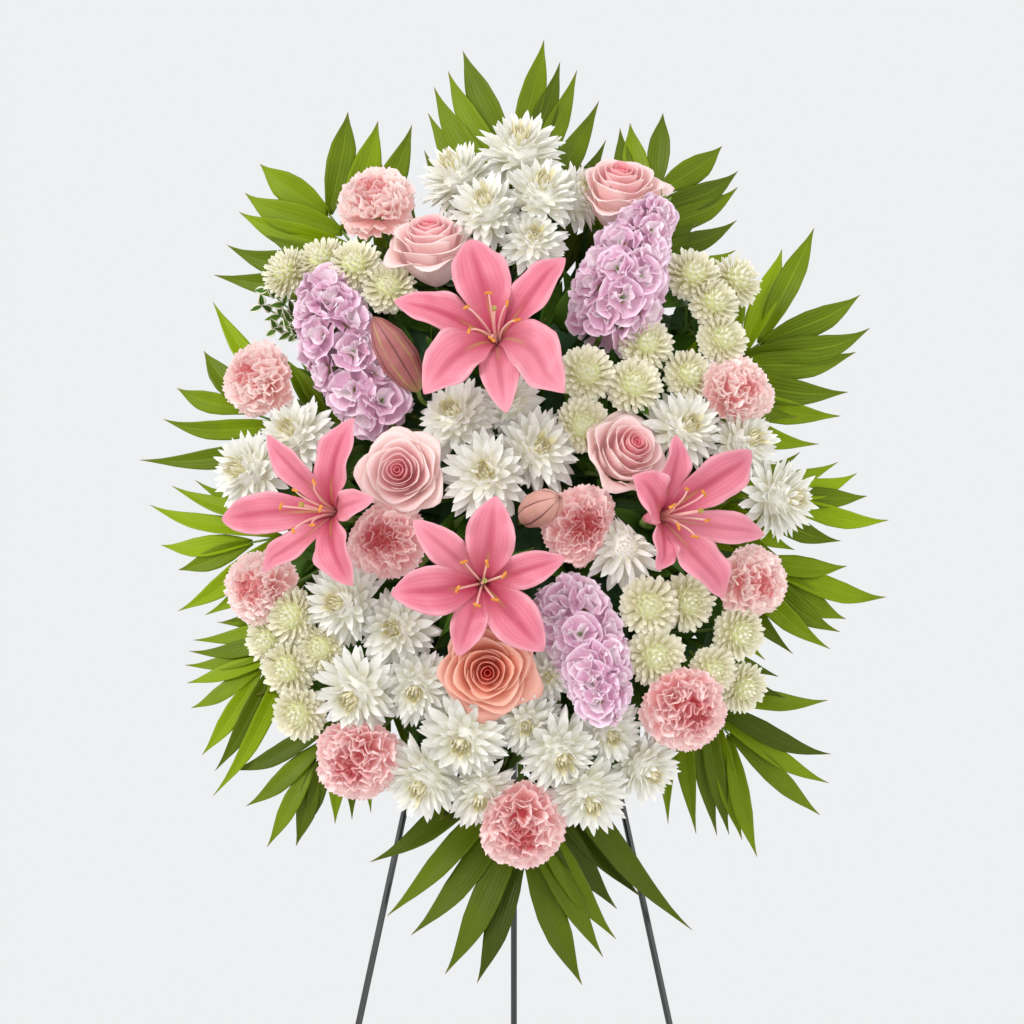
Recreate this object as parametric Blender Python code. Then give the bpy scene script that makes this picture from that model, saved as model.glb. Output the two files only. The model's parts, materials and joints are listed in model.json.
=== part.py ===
"""A standing funeral spray on a folding wire easel, in metres, +Z up, with the viewer at -Y.

The easel leans back. A tray of floral foam hangs on its cross wires, and every stem stands in a
plain hole in the foam: palm fronds round the rim, and lilies, roses, carnations, stock and
chrysanthemum sprays in a dome over the front.
"""

import math
import random

import bmesh
import bpy
from mathutils import Matrix, Quaternion, Vector

MM = 0.001

# The easel
EASEL_HEIGHT = 1.37
EASEL_LEAN = math.radians(10)
REAR_LEG_LEAN = math.radians(17)
LEG_RADIUS = 3.175 * MM
LEG_SPLAY = 0.214  # half of the feet's spread, for each metre down from where the legs would meet
LEG_TOP_HALF_GAP = 5.5 * MM
ROD_SIDES = 10
CROSS_WIRE_RADIUS = 2.5 * MM
CLEAR = 0.3 * MM  # between two pieces that touch
HINGE_BELOW_TOP = 62 * MM
HINGE_WIRE_OVERHANG = 8 * MM
STOP_WIRE_OVERHANG = 14 * MM
EYE_RADIUS = 8 * MM
EYE_WIDTH = 8 * MM
EYE_BORE = CROSS_WIRE_RADIUS + 0.5 * MM
TAIL_LENGTH = 26 * MM
RAIL_BELOW_FOAM_CENTRE = 190 * MM
RAIL_OVERHANG = 12 * MM
HOOK_SPACING = 62 * MM
HOOK_RADIUS = 2 * MM
HOOK_END_DEPTH = 34 * MM

# The foam and its tray. Depth is measured from the legs' plane towards the viewer.
FOAM_WIDTH, FOAM_HEIGHT, FOAM_THICKNESS = 210 * MM, 310 * MM, 85 * MM
TRAY_WALL = 2.4 * MM
TRAY_BACK_DEPTH = 10 * MM
TRAY_RIM_DEPTH = 25 * MM
FOAM_BACK_DEPTH = TRAY_BACK_DEPTH + TRAY_WALL + CLEAR
FOAM_FRONT_DEPTH = FOAM_BACK_DEPTH + FOAM_THICKNESS
LUG_NEAR, LUG_FAR, LUG_THICK = 27 * MM, 33 * MM, 2.4 * MM
LUG_ABOVE, LUG_BELOW = 4 * MM, 6 * MM  # from the top of the stop wire

# Stems and the holes that they stand in
STEM_SUNK = 30 * MM
HOLE_EASE = 0.35 * MM
HOLE_SIDES = 5
HOLE_DEEPER = 0.5 * MM
BEND_OUTSIDE = 7 * MM  # a rib bends this far outside the foam
HOLE_SPACING = 6 * MM
FOAM_MARGIN = 10 * MM  # heads this far outside the foam's front still stand in its front face
FRONT_INSET = 38 * MM
SIDE_INSET = 38 * MM
END_INSET = 14 * MM
BLOOM_ENTRY_DEPTH = FOAM_BACK_DEPTH + 60 * MM
FORK_ENTRY_DEPTH = FOAM_BACK_DEPTH + 50 * MM
FORK_BEHIND = 50 * MM
FORK_SECTOR = math.radians(40)
FORK_CLEAR = 18 * MM
NEIGHBOUR_GAP = 0.5 * MM
KNEE = 0.5  # share of the way to a neighbour at which petals begin to be pressed back

# Leaves
RIB_RADIUS = 2.2 * MM
LEAFLET_WIDEST = 0.5
LEAFLET_THICK = 1.0 * MM
LEAFLET_SORT = 0.3  # how far back along the rib the leaflets' order is judged from
LEAFLET_ROOM = 2.0 * MM

# The photograph: its scale at the legs' plane, and the height of its middle over the floor
PHOTO_MIDDLE = (514, 512)
PIXEL = 0.95 * MM
CAMERA_DISTANCE = 3.6
MIDDLE_HEIGHT = 1.197
FOAM_CENTRE_HEIGHT = 1.203

# The dome of flowers
DOME_HALF_WIDTH, DOME_HALF_HEIGHT = 300 * MM, 375 * MM
DOME_RIM_DEPTH, DOME_RISE = 62 * MM, 96 * MM
FACE_SPREAD = (0.45, 0.55)  # how far behind its own place each head seems to radiate from

# One row for each head: name, pixels across and down, ahead of the dome in mm, diameter in mm,
# turn to the right, nod upwards and spin in degrees. A lily's row also has its petals' tips.
LILIES = [
    ("lily_top", 495, 335, 40, 180, -4, 4, 0,
     [(565, 258), (469, 240), (394, 301), (424, 394), (506, 413), (564, 393)]),
    ("lily_left", 327, 511, 50, 178, -12, 0, 0,
     [(374, 499), (354, 418), (268, 435), (222, 519), (263, 572), (353, 586)]),
    ("lily_right", 667, 516, 44, 178, 17, 0, 0,
     [(751, 451), (675, 435), (632, 476), (657, 570), (723, 598), (764, 535)]),
    ("lily_low", 482, 583, 40, 172, 2, 2, 0,
     [(565, 558), (496, 496), (413, 520), (391, 594), (458, 656), (544, 651)]),
]
LILY_BUDS = [
    ("lily_bud_large", 396, 354, 24, 38, -46, 42, 0),
    ("lily_bud_small", 541, 508, 30, 34, 24, 10, 0),
]
ROSES = [
    ("rose_top_left", 430, 244, 4, 72, -2, 34, 10),
    ("rose_top_right", 622, 194, 4, 78, -8, 26, 40),
    ("rose_middle", 402, 474, 8, 76, 2, 0, 0),
    ("rose_right", 626, 453, 6, 76, 14, 16, 25),
    ("rose_peach", 488, 670, 18, 82, 2, 4, 50),
]
CARNATIONS = [
    ("carnation_top_left", 376, 204, 0, 70, 0, 6, 0),
    ("carnation_left", 260, 380, 2, 68, -6, 0, 20),
    ("carnation_middle", 384, 540, -2, 74, 0, 0, 40),
    ("carnation_left_low", 261, 588, 2, 66, -4, 0, 60),
    ("carnation_bottom_left", 358, 757, 4, 76, 0, -4, 10),
    ("carnation_bottom", 521, 824, 6, 80, 0, -6, 30),
    ("carnation_centre", 583, 527, -2, 72, 4, 2, 50),
    ("carnation_right", 736, 394, 2, 68, 6, 0, 70),
    ("carnation_right_low", 750, 582, 0, 66, 8, 0, 15),
    ("carnation_bottom_right", 684, 707, 8, 76, 0, -4, 35),
]
# Sprays: name, then one row for each head: across, down, ahead, diameter, turn, nod
WHITE_SPRAYS = [
    ("white_mums_top", [(520, 154, 2, 82, 0, 8), (540, 196, 12, 78, 6, 2), (487, 212, 10, 78, -8, 0),
                        (532, 240, 6, 66, 4, -16), (460, 180, -4, 76, -24, 8), (576, 198, -8, 66, 24, 0)]),
    ("white_mums_left", [(252, 472, 0, 76, -14, 0), (297, 436, -8, 72, 0, 8)]),
    ("white_mums_middle", [(457, 418, -6, 80, -8, 6), (487, 474, 2, 84, -4, -2),
                           (536, 450, -4, 80, 12, -2), (508, 404, -12, 64, 0, 6)]),
    ("white_mums_right", [(683, 430, -6, 76, 0, 4), (741, 444, -4, 72, 14, 4), (778, 498, 0, 76, 24, -6)]),
    ("white_mum_daisy", [(624, 547, -4, 76, 0, -4)]),
    ("white_mums_low_left", [(346, 604, -2, 80, -10, 8), (396, 628, -6, 78, 6, 2),
                             (358, 692, 4, 84, -6, -8), (416, 686, -4, 72, 8, -8)]),
    ("white_mums_bottom_left", [(463, 738, 4, 84, 0, -2), (425, 778, 0, 78, -10, -10),
                                (480, 790, -4, 72, 4, -14)]),
    ("white_mums_bottom_right", [(547, 676, -4, 50, 0, 6), (527, 722, -6, 66, 0, -2),
                                 (560, 752, 4, 78, 2, -8), (588, 792, 2, 78, 6, -14),
                                 (608, 732, -2, 66, 6, -2), (642, 766, -10, 68, 26, -8)]),
]
CREAM_SPRAYS = [
    ("cream_poms_top_left", [(288, 273, 0, 52, -26, 10), (322, 262, 0, 50, -10, 16),
                             (355, 266, 6, 52, 6, 10), (389, 288, 2, 52, 12, 0)]),
    ("cream_poms_top_right", [(692, 276, 2, 54, 0, 10), (735, 281, -2, 52, 20, 6),
                              (713, 303, 4, 50, 10, 0), (722, 340, 2, 50, 10, -4)]),
    ("cream_poms_middle", [(645, 344, -4, 52, 4, 4), (586, 374, 2, 54, -4, 0), (633, 386, 0, 54, 6, 0),
                           (688, 376, -6, 50, 14, 2), (582, 426, 0, 54, -4, -4)]),
    ("cream_poms_low_right", [(649, 606, 4, 56, -6, 4), (686, 602, -8, 54, 10, 4),
                              (655, 656, 2, 56, 0, -4), (738, 633, -2, 52, 16, -4),
                              (712, 670, 0, 46, 4, -4), (742, 687, -12, 48, 20, -8)]),
    ("cream_poms_low_left", [(293, 616, 2, 54, -8, 6), (270, 640, -6, 48, -20, 0), (321, 648, -2, 50, 6, 0),
                             (289, 668, 0, 54, -10, -2), (300, 713, 2, 52, -4, -8)]),
]
# Stock: name, then its spike from the tip to the lowest florets: pixels across and down, the radius
# there in mm and how far ahead of the dome it lies in mm
STOCKS = [
    ("stock_left", [(326, 290, 26, 6), (336, 334, 38, 0), (360, 382, 38, -12), (388, 418, 26, -16)]),
    ("stock_right", [(656, 212, 18, 38), (632, 252, 34, 18), (618, 296, 46, 2), (602, 330, 30, -6)]),
    ("stock_low", [(603, 702, 22, 26), (596, 668, 34, 12), (576, 622, 38, -6), (562, 598, 26, -12)]),
]
# Fronds: name, the end of the rib as pixels across and down, the depth of its foot and of its end
# in mm, leaflet width in mm, and the tips of its leaflets
FRONDS = [
    ("frond_12_oclock", (513, 148), 34, 46, 25,
     [(424, 150), (428, 113), (434, 87), (448, 71), (463, 51), (544, 40), (560, 62), (577, 70), (599, 101),
      (606, 140)]),
    ("frond_1_oclock", (662, 182), 42, 40, 23,
     [(600, 165), (620, 128), (630, 123), (663, 113), (722, 146), (738, 171), (738, 187), (737, 220),
      (736, 250)]),
    ("frond_2_oclock", (768, 338), 34, 38, 25,
     [(740, 262), (782, 249), (814, 228), (860, 295), (870, 328), (856, 352), (848, 392), (841, 416),
      (819, 444)]),
    ("frond_3_oclock", (790, 500), 42, 46, 20,
     [(800, 452), (838, 462), (857, 473), (867, 496), (889, 520), (841, 541), (795, 550)]),
    ("frond_4_oclock", (782, 575), 34, 36, 22,
     [(847, 566), (886, 597), (846, 619), (840, 632), (830, 649), (793, 654), (765, 660)]),
    ("frond_5_oclock", (735, 742), 42, 42, 19,
     [(828, 700), (831, 754), (829, 783), (820, 815), (757, 857), (742, 840), (729, 835), (717, 836),
      (696, 834), (668, 824)]),
    ("frond_6_oclock", (525, 862), 34, 40, 26,
     [(692, 930), (641, 897), (617, 909), (616, 939), (603, 957), (582, 985), (477, 983), (445, 974),
      (411, 935), (387, 916), (370, 862)]),
    ("frond_7_oclock", (312, 768), 42, 34, 18,
     [(385, 790), (371, 813), (352, 820), (335, 824), (304, 832), (296, 846), (267, 847), (246, 806),
      (230, 770)]),
    ("frond_8_oclock", (252, 676), 34, 36, 18,
     [(213, 796), (215, 771), (202, 755), (191, 708), (187, 683), (185, 665), (189, 651), (193, 640),
      (217, 622)]),
    ("frond_9_oclock", (238, 545), 42, 32, 20,
     [(205, 615), (178, 611), (178, 570), (161, 545), (150, 505), (172, 486), (195, 480)]),
    ("frond_10_oclock", (228, 405), 34, 36, 21,
     [(140, 460), (163, 419), (177, 388), (204, 351), (213, 302)]),
    ("frond_11_oclock", (322, 205), 42, 42, 27,
     [(214, 275), (227, 245), (239, 212), (245, 193), (260, 164), (348, 112), (378, 121), (412, 125)]),
]
# Dark leafy stems between the flowers, in the same way
FILLERS = [
    ("filler_left", (312, 556), 62, 70, 24, [(286, 528), (276, 568), (306, 594), (332, 524)]),
    ("filler_right", (706, 592), 66, 74, 24, [(700, 558), (742, 556), (724, 624), (694, 628)]),
    ("filler_left_high", (292, 312), 62, 66, 20, [(262, 306), (276, 330), (300, 290), (268, 290)]),
]

LOOKS = {
    # name: colour, roughness, metallic
    "black_enamel": ((0.02, 0.025, 0.024), 0.3, 0.0),
    "tray_plastic": ((0.06, 0.16, 0.08), 0.5, 0.0),
    "wet_foam": ((0.10, 0.26, 0.12), 0.95, 0.0),
    "palm_green": ((0.13, 0.28, 0.03), 0.42, 0.0),
    "filler_green": ((0.05, 0.13, 0.03), 0.45, 0.0),
    "lily_pink": ((0.84, 0.30, 0.38), 0.5, 0.0),
    "bud_rose": ((0.52, 0.22, 0.20), 0.5, 0.0),
    "rose_blush": ((0.87, 0.55, 0.54), 0.55, 0.0),
    "rose_peach": ((0.90, 0.47, 0.32), 0.55, 0.0),
    "carnation_pink": ((0.88, 0.52, 0.52), 0.65, 0.0),
    "mum_white": ((0.88, 0.88, 0.80), 0.6, 0.0),
    "pom_cream": ((0.84, 0.85, 0.62), 0.6, 0.0),
    "stock_lilac": ((0.72, 0.46, 0.74), 0.6, 0.0),
}


def spray_axes():
    """The spray's own axes: X across, Y up along the leaning legs, Z towards the viewer."""
    across = Vector((1, 0, 0))
    up = Vector((0, math.sin(EASEL_LEAN), math.cos(EASEL_LEAN)))
    out = across.cross(up)
    centre = Vector((0, -(EASEL_HEIGHT - FOAM_CENTRE_HEIGHT) * math.tan(EASEL_LEAN), FOAM_CENTRE_HEIGHT))
    turn = Matrix((across, up, out)).transposed().to_4x4()
    return Matrix.Translation(centre) @ turn


SPRAY = spray_axes()


def spot(across, down, depth):
    """The point of the spray, in its own axes, that stands at this pixel of the photograph."""
    lean_sin, lean_cos = math.sin(EASEL_LEAN), math.cos(EASEL_LEAN)
    closeness = 1.0
    height = 0.0
    for _ in range(4):
        seen = MIDDLE_HEIGHT - FOAM_CENTRE_HEIGHT + (PHOTO_MIDDLE[1] - down) * PIXEL * closeness
        height = (seen - depth * lean_sin) / lean_cos
        closeness = 1 + (height * lean_sin - depth * lean_cos) / CAMERA_DISTANCE
    return Vector(((across - PHOTO_MIDDLE[0]) * PIXEL * closeness, height, depth))


def dome_depth(across, down):
    """How far the dome of flowers stands out from the legs' plane at a pixel."""
    flat = spot(across, down, DOME_RIM_DEPTH)
    inside = 1 - (flat.x / DOME_HALF_WIDTH) ** 2 - (flat.y / DOME_HALF_HEIGHT) ** 2
    return DOME_RIM_DEPTH + DOME_RISE * math.sqrt(max(0.0, inside))


def facing(place, turn, nod):
    """The way a head looks: outwards from behind the foam, then turned and nodded."""
    sideways = math.atan2(place.x, FACE_SPREAD[0]) + math.radians(turn)
    upwards = math.atan2(place.y, FACE_SPREAD[1]) + math.radians(nod)
    flat = math.cos(upwards)
    return Vector((math.sin(sideways) * flat, math.sin(upwards), math.cos(sideways) * flat))


class Head:
    """One flower head: its centre, the way it faces and its radius."""

    def __init__(self, owner, across, down, ahead, diameter, turn, nod, spin=0.0):
        self.owner = owner
        self.radius = diameter / 2 * MM
        self.centre = spot(across, down, dome_depth(across, down) + ahead * MM)
        self.look = facing(self.centre, turn, nod)
        upright = Vector((0, 0, 1)).rotation_difference(self.look)
        self.turned = upright @ Quaternion((0, 0, 1), math.radians(spin))

    def point(self, x, y, z):
        """A point given in the head's own axes, with Z the way that it faces."""
        return self.centre + self.turned @ Vector((x, y, z))

    def polar(self, angle, radius, height):
        return self.point(radius * math.cos(angle), radius * math.sin(angle), height)


def every_round_head():
    """All heads that crowd each other."""
    heads = [Head(*row) for row in ROSES + CARNATIONS]
    for name, rows in WHITE_SPRAYS + CREAM_SPRAYS:
        heads += [Head(name, *row) for row in rows]
    return heads


def stem_spots():
    """Spheres round the feet of the lilies and their buds, which the other heads make room for."""
    spots = []
    for row in LILIES:
        head = Head(*row[:8])
        spots += [(head.point(0, 0, -18 * MM), 11 * MM), (head.point(0, 0, -36 * MM), 7 * MM)]
        spots.append((head.point(0, 0, -36 * MM) - Vector((0, 0, 16 * MM)), 6 * MM))
    for row in LILY_BUDS:
        head = Head(*row)
        spots += [(head.point(0, 0, -height * head.radius), 0.9 * head.radius) for height in (0, 1.2)]
        spots.append((head.point(0, 0, -2.4 * head.radius), 6 * MM))
    return spots


CROWD = every_round_head()
OBSTACLES = stem_spots()


def pressed(point, centre, way, wall, radius):
    """A point drawn back behind a wall. Points well short of the wall stay where they are."""
    towards = (point - centre).dot(way)
    knee = KNEE * wall
    if towards <= knee or wall >= radius:
        return point
    return point - way * (towards - knee) * (1 - (wall - knee) / (radius - knee))


def crowded(head, point):
    """A petal's point, pressed back towards its head's centre where a neighbour stands in its way."""
    moved = point.copy()
    for other in CROWD:
        between = other.centre - head.centre
        distance = between.length
        if 1e-6 < distance < head.radius + other.radius:
            wall = (distance**2 + head.radius**2 - other.radius**2) / (2 * distance) - NEIGHBOUR_GAP
            moved = pressed(moved, head.centre, between / distance, wall, head.radius)
    for place, radius in OBSTACLES:
        between = place - head.centre
        wall = max(between.length - radius - NEIGHBOUR_GAP, 0.3 * head.radius)
        moved = pressed(moved, head.centre, between.normalized(), wall, head.radius)
    return moved


class Skin:
    """A closed surface that is built ring by ring. Rings run anticlockwise seen from their far side."""

    def __init__(self):
        self.points = []
        self.faces = []

    def ring(self, points):
        first = len(self.points)
        self.points += [Vector(p) for p in points]
        return list(range(first, len(self.points)))

    def bridge(self, near, far):
        count = len(near)
        for i in range(count):
            j = (i + 1) % count
            self.faces.append((near[i], near[j], far[j], far[i]))

    def join(self, near, far):
        """Joins two rings with different numbers of points. Their first points lie side by side."""
        i = j = 0
        while i < len(near) or j < len(far):
            here, there = near[i % len(near)], far[j % len(far)]
            if j == len(far) or (i < len(near) and (i + 0.5) / len(near) <= (j + 0.5) / len(far)):
                self.faces.append((here, near[(i + 1) % len(near)], there))
                i += 1
            else:
                self.faces.append((here, far[(j + 1) % len(far)], there))
                j += 1

    def tip(self, ring, point):
        top = self.ring([point])[0]
        for i, here in enumerate(ring):
            self.faces.append((here, ring[(i + 1) % len(ring)], top))

    def cap(self, ring):
        self.faces.append(tuple(ring))

    def mesh(self, name):
        built = bpy.data.meshes.new(name)
        built.from_pydata([tuple(p) for p in self.points], [], self.faces)
        shape = bmesh.new()
        shape.from_mesh(built)
        bmesh.ops.triangulate(shape, faces=shape.faces[:])
        bmesh.ops.recalc_face_normals(shape, faces=shape.faces[:])
        if shape.calc_volume(signed=True) < 0:
            bmesh.ops.reverse_faces(shape, faces=shape.faces[:])
        shape.to_mesh(built)
        shape.free()
        return built


def material(name):
    found = bpy.data.materials.get(name)
    if found:
        return found
    colour, roughness, metallic = LOOKS[name]
    found = bpy.data.materials.new(name)
    found.use_nodes = True
    shader = found.node_tree.nodes["Principled BSDF"]
    shader.inputs["Base Color"].default_value = (*colour, 1)
    shader.inputs["Roughness"].default_value = roughness
    shader.inputs["Metallic"].default_value = metallic
    found.diffuse_color = (*colour, 1)
    return found


def add_object(name, mesh, parent, look, smooth=True):
    obj = bpy.data.objects.new(name, mesh)
    bpy.context.scene.collection.objects.link(obj)
    obj.parent = parent
    mesh.materials.clear()
    mesh.materials.append(material(look))
    if smooth:
        mesh.shade_smooth()
        mesh.set_sharp_from_angle(angle=math.radians(50))
    return obj


def combine(mesh, others, operation):
    """Joins the other meshes to the first, or cuts them from it, in one applied Boolean."""
    base = bpy.data.objects.new("base", mesh)
    bpy.context.scene.collection.objects.link(base)
    group = bpy.data.collections.new("pieces")
    bpy.context.scene.collection.children.link(group)
    pieces = [bpy.data.objects.new("piece", other) for other in others]
    for piece in pieces:
        group.objects.link(piece)
    boolean = base.modifiers.new("boolean", "BOOLEAN")
    boolean.operation = operation
    boolean.operand_type = "COLLECTION"
    boolean.collection = group
    boolean.solver = "EXACT"
    bpy.context.view_layer.update()
    graph = bpy.context.evaluated_depsgraph_get()
    joined = bpy.data.meshes.new_from_object(base.evaluated_get(graph))
    for piece in [base, *pieces]:
        bpy.data.objects.remove(piece)
    bpy.data.collections.remove(group)
    return joined


def square_on(direction, side_hint):
    """Two directions square to a stem's own and to each other."""
    first = direction.cross(side_hint)
    if first.length < 1e-4:
        first = direction.cross(Vector((1, 0.3, 0.2)))
    first.normalize()
    return first, direction.cross(first).normalized()


STABS = []


def on_foam(place, depth):
    """Where a stem from this place enters the foam, and the way it runs there. At the foam's sides it
    enters at the given depth."""
    half_x, half_y = FOAM_WIDTH / 2, FOAM_HEIGHT / 2
    if abs(place.x) < half_x + FOAM_MARGIN and abs(place.y) < half_y + FOAM_MARGIN:
        flat_x = max(-half_x + FRONT_INSET, min(half_x - FRONT_INSET, place.x * 0.9))
        flat_y = max(-half_y + FRONT_INSET, min(half_y - FRONT_INSET, place.y * 0.9))
        return Vector((flat_x, flat_y, FOAM_FRONT_DEPTH)), Vector((0, 0, -1))
    ratio = max(abs(place.x) / half_x, abs(place.y) / half_y)
    entry = Vector((place.x / ratio, place.y / ratio, depth))
    if abs(place.x) / half_x > abs(place.y) / half_y:
        entry.y = max(-half_y + SIDE_INSET, min(half_y - SIDE_INSET, entry.y))
        return entry, Vector((-math.copysign(1, place.x), 0, 0))
    entry.x = max(-half_x + END_INSET, min(half_x - END_INSET, entry.x))
    return entry, Vector((0, -math.copysign(1, place.y), 0))


def free_entry(entry, inwards, radius):
    """The place for a hole nearest to the one asked for that keeps clear of the others."""
    first, second = square_on(inwards, Vector((0.2, 0.1, 1)))
    for k in range(200):
        angle, reach = 2.4 * k, 1.6 * MM * math.sqrt(k)
        moved = entry + (first * math.cos(angle) + second * math.sin(angle)) * reach
        if all(
            (moved - other).length > radius + wide + HOLE_SPACING or inwards.dot(way) < 0.5
            for other, way, wide, _ in STABS
        ):
            return moved
    return entry


def stab(entry, inwards, radius):
    """Notes the hole that a stem needs."""
    STABS.append((entry, inwards, radius + HOLE_EASE, STEM_SUNK + HOLE_DEEPER))


def stem_path(place, look, radius, depth=BLOOM_ENTRY_DEPTH):
    """A stem's path from behind a head, or from a fork, to its end in the foam."""
    entry, inwards = on_foam(place, depth)
    entry = free_entry(entry, inwards, radius)
    stab(entry, inwards, radius)
    length = (entry - place).length
    leave = place - look * min(0.35 * length, 30 * MM)
    if inwards.z < 0:
        leave.z = max(leave.z, FOAM_FRONT_DEPTH + 8 * MM)
    outside = entry - inwards * min(0.3 * length, 22 * MM)
    return [leave, outside, entry + inwards * STEM_SUNK]


def stem_rings(skin, path, radii, sides):
    """A round bar along a path, closed at both ends."""
    side, other = square_on((path[1] - path[0]).normalized(), Vector((0.1, 0.2, 1)))
    spokes = [
        side * math.cos(2 * math.pi * k / sides) + other * math.sin(2 * math.pi * k / sides)
        for k in range(sides)
    ]
    ring = None
    for i, here in enumerate(path):
        heading = (path[min(i + 1, len(path) - 1)] - path[max(i - 1, 0)]).normalized()
        spokes = [(s - heading * s.dot(heading)).normalized() for s in spokes]
        new = skin.ring([here + s * radii[i] for s in spokes])
        if ring is None:
            skin.cap(new)
        else:
            skin.bridge(ring, new)
        ring = new
    skin.cap(ring)


def spiky_head(skin, head, columns, core, rows, seed):
    """A daisy-like head: a core with a pointed petal raised on each of its cells.

    Each row is (latitude in degrees, reach of its petals as a share of the radius, their lift in
    degrees above the latitude). Returns the ring at the back, for a stem to join.
    """
    rnd = random.Random(seed)
    turn = 2 * math.pi / columns
    rings = []
    for level, (latitude, _, _) in enumerate(rows):
        angle = math.radians(latitude)
        points = [
            head.polar((k + level * 0.5) * turn, core * math.cos(angle), core * 0.85 * math.sin(angle))
            for k in range(columns)
        ]
        rings.append(skin.ring([crowded(head, p) for p in points]))
    for level in range(len(rows) - 1):
        _, reach, lift = rows[level]
        middle = math.radians((rows[level][0] + rows[level + 1][0]) / 2 + lift)
        for k in range(columns):
            j = (k + 1) % columns
            corners = [rings[level][k], rings[level][j], rings[level + 1][j], rings[level + 1][k]]
            along = (k + level * 0.5 + 0.75) * turn
            length = head.radius * reach * rnd.uniform(0.93, 1.05)
            end = head.polar(along, length * math.cos(middle), length * math.sin(middle))
            skin.tip(corners, crowded(head, end))
    top = crowded(head, head.polar(0, 0, core * 0.86))
    skin.tip(rings[-1], top)
    return rings[0]


def back_to_stem(skin, head, back, path, radius):
    """Closes the back of a head on to a stem with four sides."""
    collar = skin.ring([head.polar(2 * math.pi * k / 4, radius * 1.5, -0.42 * head.radius) for k in range(4)])
    skin.join(back, collar)
    side_rings(skin, collar, path, radius)


def side_rings(skin, ring, path, radius):
    """Carries a ring along a path as a tapering tube and closes its end."""
    first = sum((skin.points[i] for i in ring), Vector()) / len(ring)
    spokes = [(skin.points[i] - first).normalized() for i in ring]
    before = first
    for i, here in enumerate(path):
        after = path[min(i + 1, len(path) - 1)]
        heading = (after - before).normalized()
        spokes = [(s - heading * s.dot(heading)).normalized() for s in spokes]
        new = skin.ring([here + s * radius for s in spokes])
        skin.bridge(ring, new)
        ring = new
        before = here
    skin.cap(ring)


def limb(skin, cell, head, radius):
    """Grows a branch from a cell of the fork to a head, and returns the ring where the head begins."""
    collar = skin.ring([head.polar(math.pi * k / 2, radius * 1.5, -0.42 * head.radius) for k in range(4)])
    turned = [collar[k:] + collar[:k] for k in range(4)]
    turned += [list(reversed(t)) for t in turned]

    def twist(order):
        return sum((skin.points[a] - skin.points[b]).length_squared for a, b in zip(cell, order))

    skin.bridge(cell, min(turned, key=twist))
    return collar


def off_foam(fork):
    """The fork of a spray, moved clear of the foam."""
    beside_x, beside_y = FOAM_WIDTH / 2 + FORK_CLEAR, FOAM_HEIGHT / 2 + FORK_CLEAR
    if abs(fork.x) > beside_x or abs(fork.y) > beside_y:
        return fork
    if abs(fork.x) > beside_x - 1.3 * FORK_CLEAR:
        return Vector((math.copysign(beside_x, fork.x), fork.y, fork.z))
    if abs(fork.y) > beside_y - 1.3 * FORK_CLEAR:
        return Vector((fork.x, math.copysign(beside_y, fork.y), fork.z))
    return Vector((fork.x, fork.y, max(fork.z, FOAM_FRONT_DEPTH + 24 * MM)))


def spray(name, rows, look, make_head, stem_radius, seed):
    """Several heads whose short stems meet in one that stands in the foam."""
    heads = [Head(name, *row) for row in rows]
    skin = Skin()
    if len(heads) == 1:
        back = make_head(skin, heads[0], seed)
        place = heads[0].centre - heads[0].look * heads[0].radius * 0.5
        back_to_stem(skin, heads[0], back, stem_path(place, heads[0].look, stem_radius), stem_radius)
        return add_object(name, skin.mesh(name), SPRAY_FRAME, look)
    middle = sum((h.centre for h in heads), Vector()) / len(heads)
    look_out = sum((h.look for h in heads), Vector()).normalized()
    fork = off_foam(middle - look_out * FORK_BEHIND)
    side, other = square_on(look_out, Vector((0.1, 1, 0)))

    def bearing(head):
        reach = head.centre - fork
        return math.atan2(reach.dot(other), reach.dot(side))

    heads.sort(key=bearing)
    marks = []
    for k, head in enumerate(heads):
        before = (bearing(head) - bearing(heads[k - 1])) % (2 * math.pi)
        after = (bearing(heads[(k + 1) % len(heads)]) - bearing(head)) % (2 * math.pi)
        marks.append((bearing(head) - min(FORK_SECTOR, before / 2), head))
        if after / 2 > FORK_SECTOR:
            marks.append((bearing(head) + FORK_SECTOR, None))
    spokes = [side * math.cos(angle) + other * math.sin(angle) for angle, _ in marks]
    knot = stem_radius * (1.2 + 0.2 * len(marks))
    upper = skin.ring([fork + look_out * 3 * MM + s * knot * 0.9 for s in spokes])
    lower = skin.ring([fork - look_out * 3 * MM + s * knot for s in spokes])
    skin.tip(upper, fork + look_out * 5 * MM)
    for k, (_, head) in enumerate(marks):
        j = (k + 1) % len(marks)
        cell = [upper[k], upper[j], lower[j], lower[k]]
        if head:
            collar = limb(skin, cell, head, stem_radius * 0.62)
            skin.join(make_head(skin, head, seed + k), collar)
        else:
            skin.faces.append(tuple(cell))
    path = stem_path(fork - look_out * 4 * MM, look_out, stem_radius, FORK_ENTRY_DEPTH)
    quarters = [marks[0][0] + math.pi * k / 2 for k in range(4)]
    collar = skin.ring([
        fork - look_out * 9 * MM + (side * math.cos(a) + other * math.sin(a)) * stem_radius for a in quarters
    ])
    skin.join(lower, collar)
    side_rings(skin, collar, path, stem_radius)
    return add_object(name, skin.mesh(name), SPRAY_FRAME, look)


def white_head(skin, head, seed):
    rows = [(-34, 1.0, 8), (2, 1.0, 6), (34, 0.97, 8), (66, 0, 0)]
    return spiky_head(skin, head, 7, head.radius * 0.72, rows, seed)


def cream_head(skin, head, seed):
    rows = [(-42, 0.98, 6), (-4, 1.0, 4), (34, 0.96, 4), (66, 0, 0)]
    return spiky_head(skin, head, 7, head.radius * 0.82, rows, seed)


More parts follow.
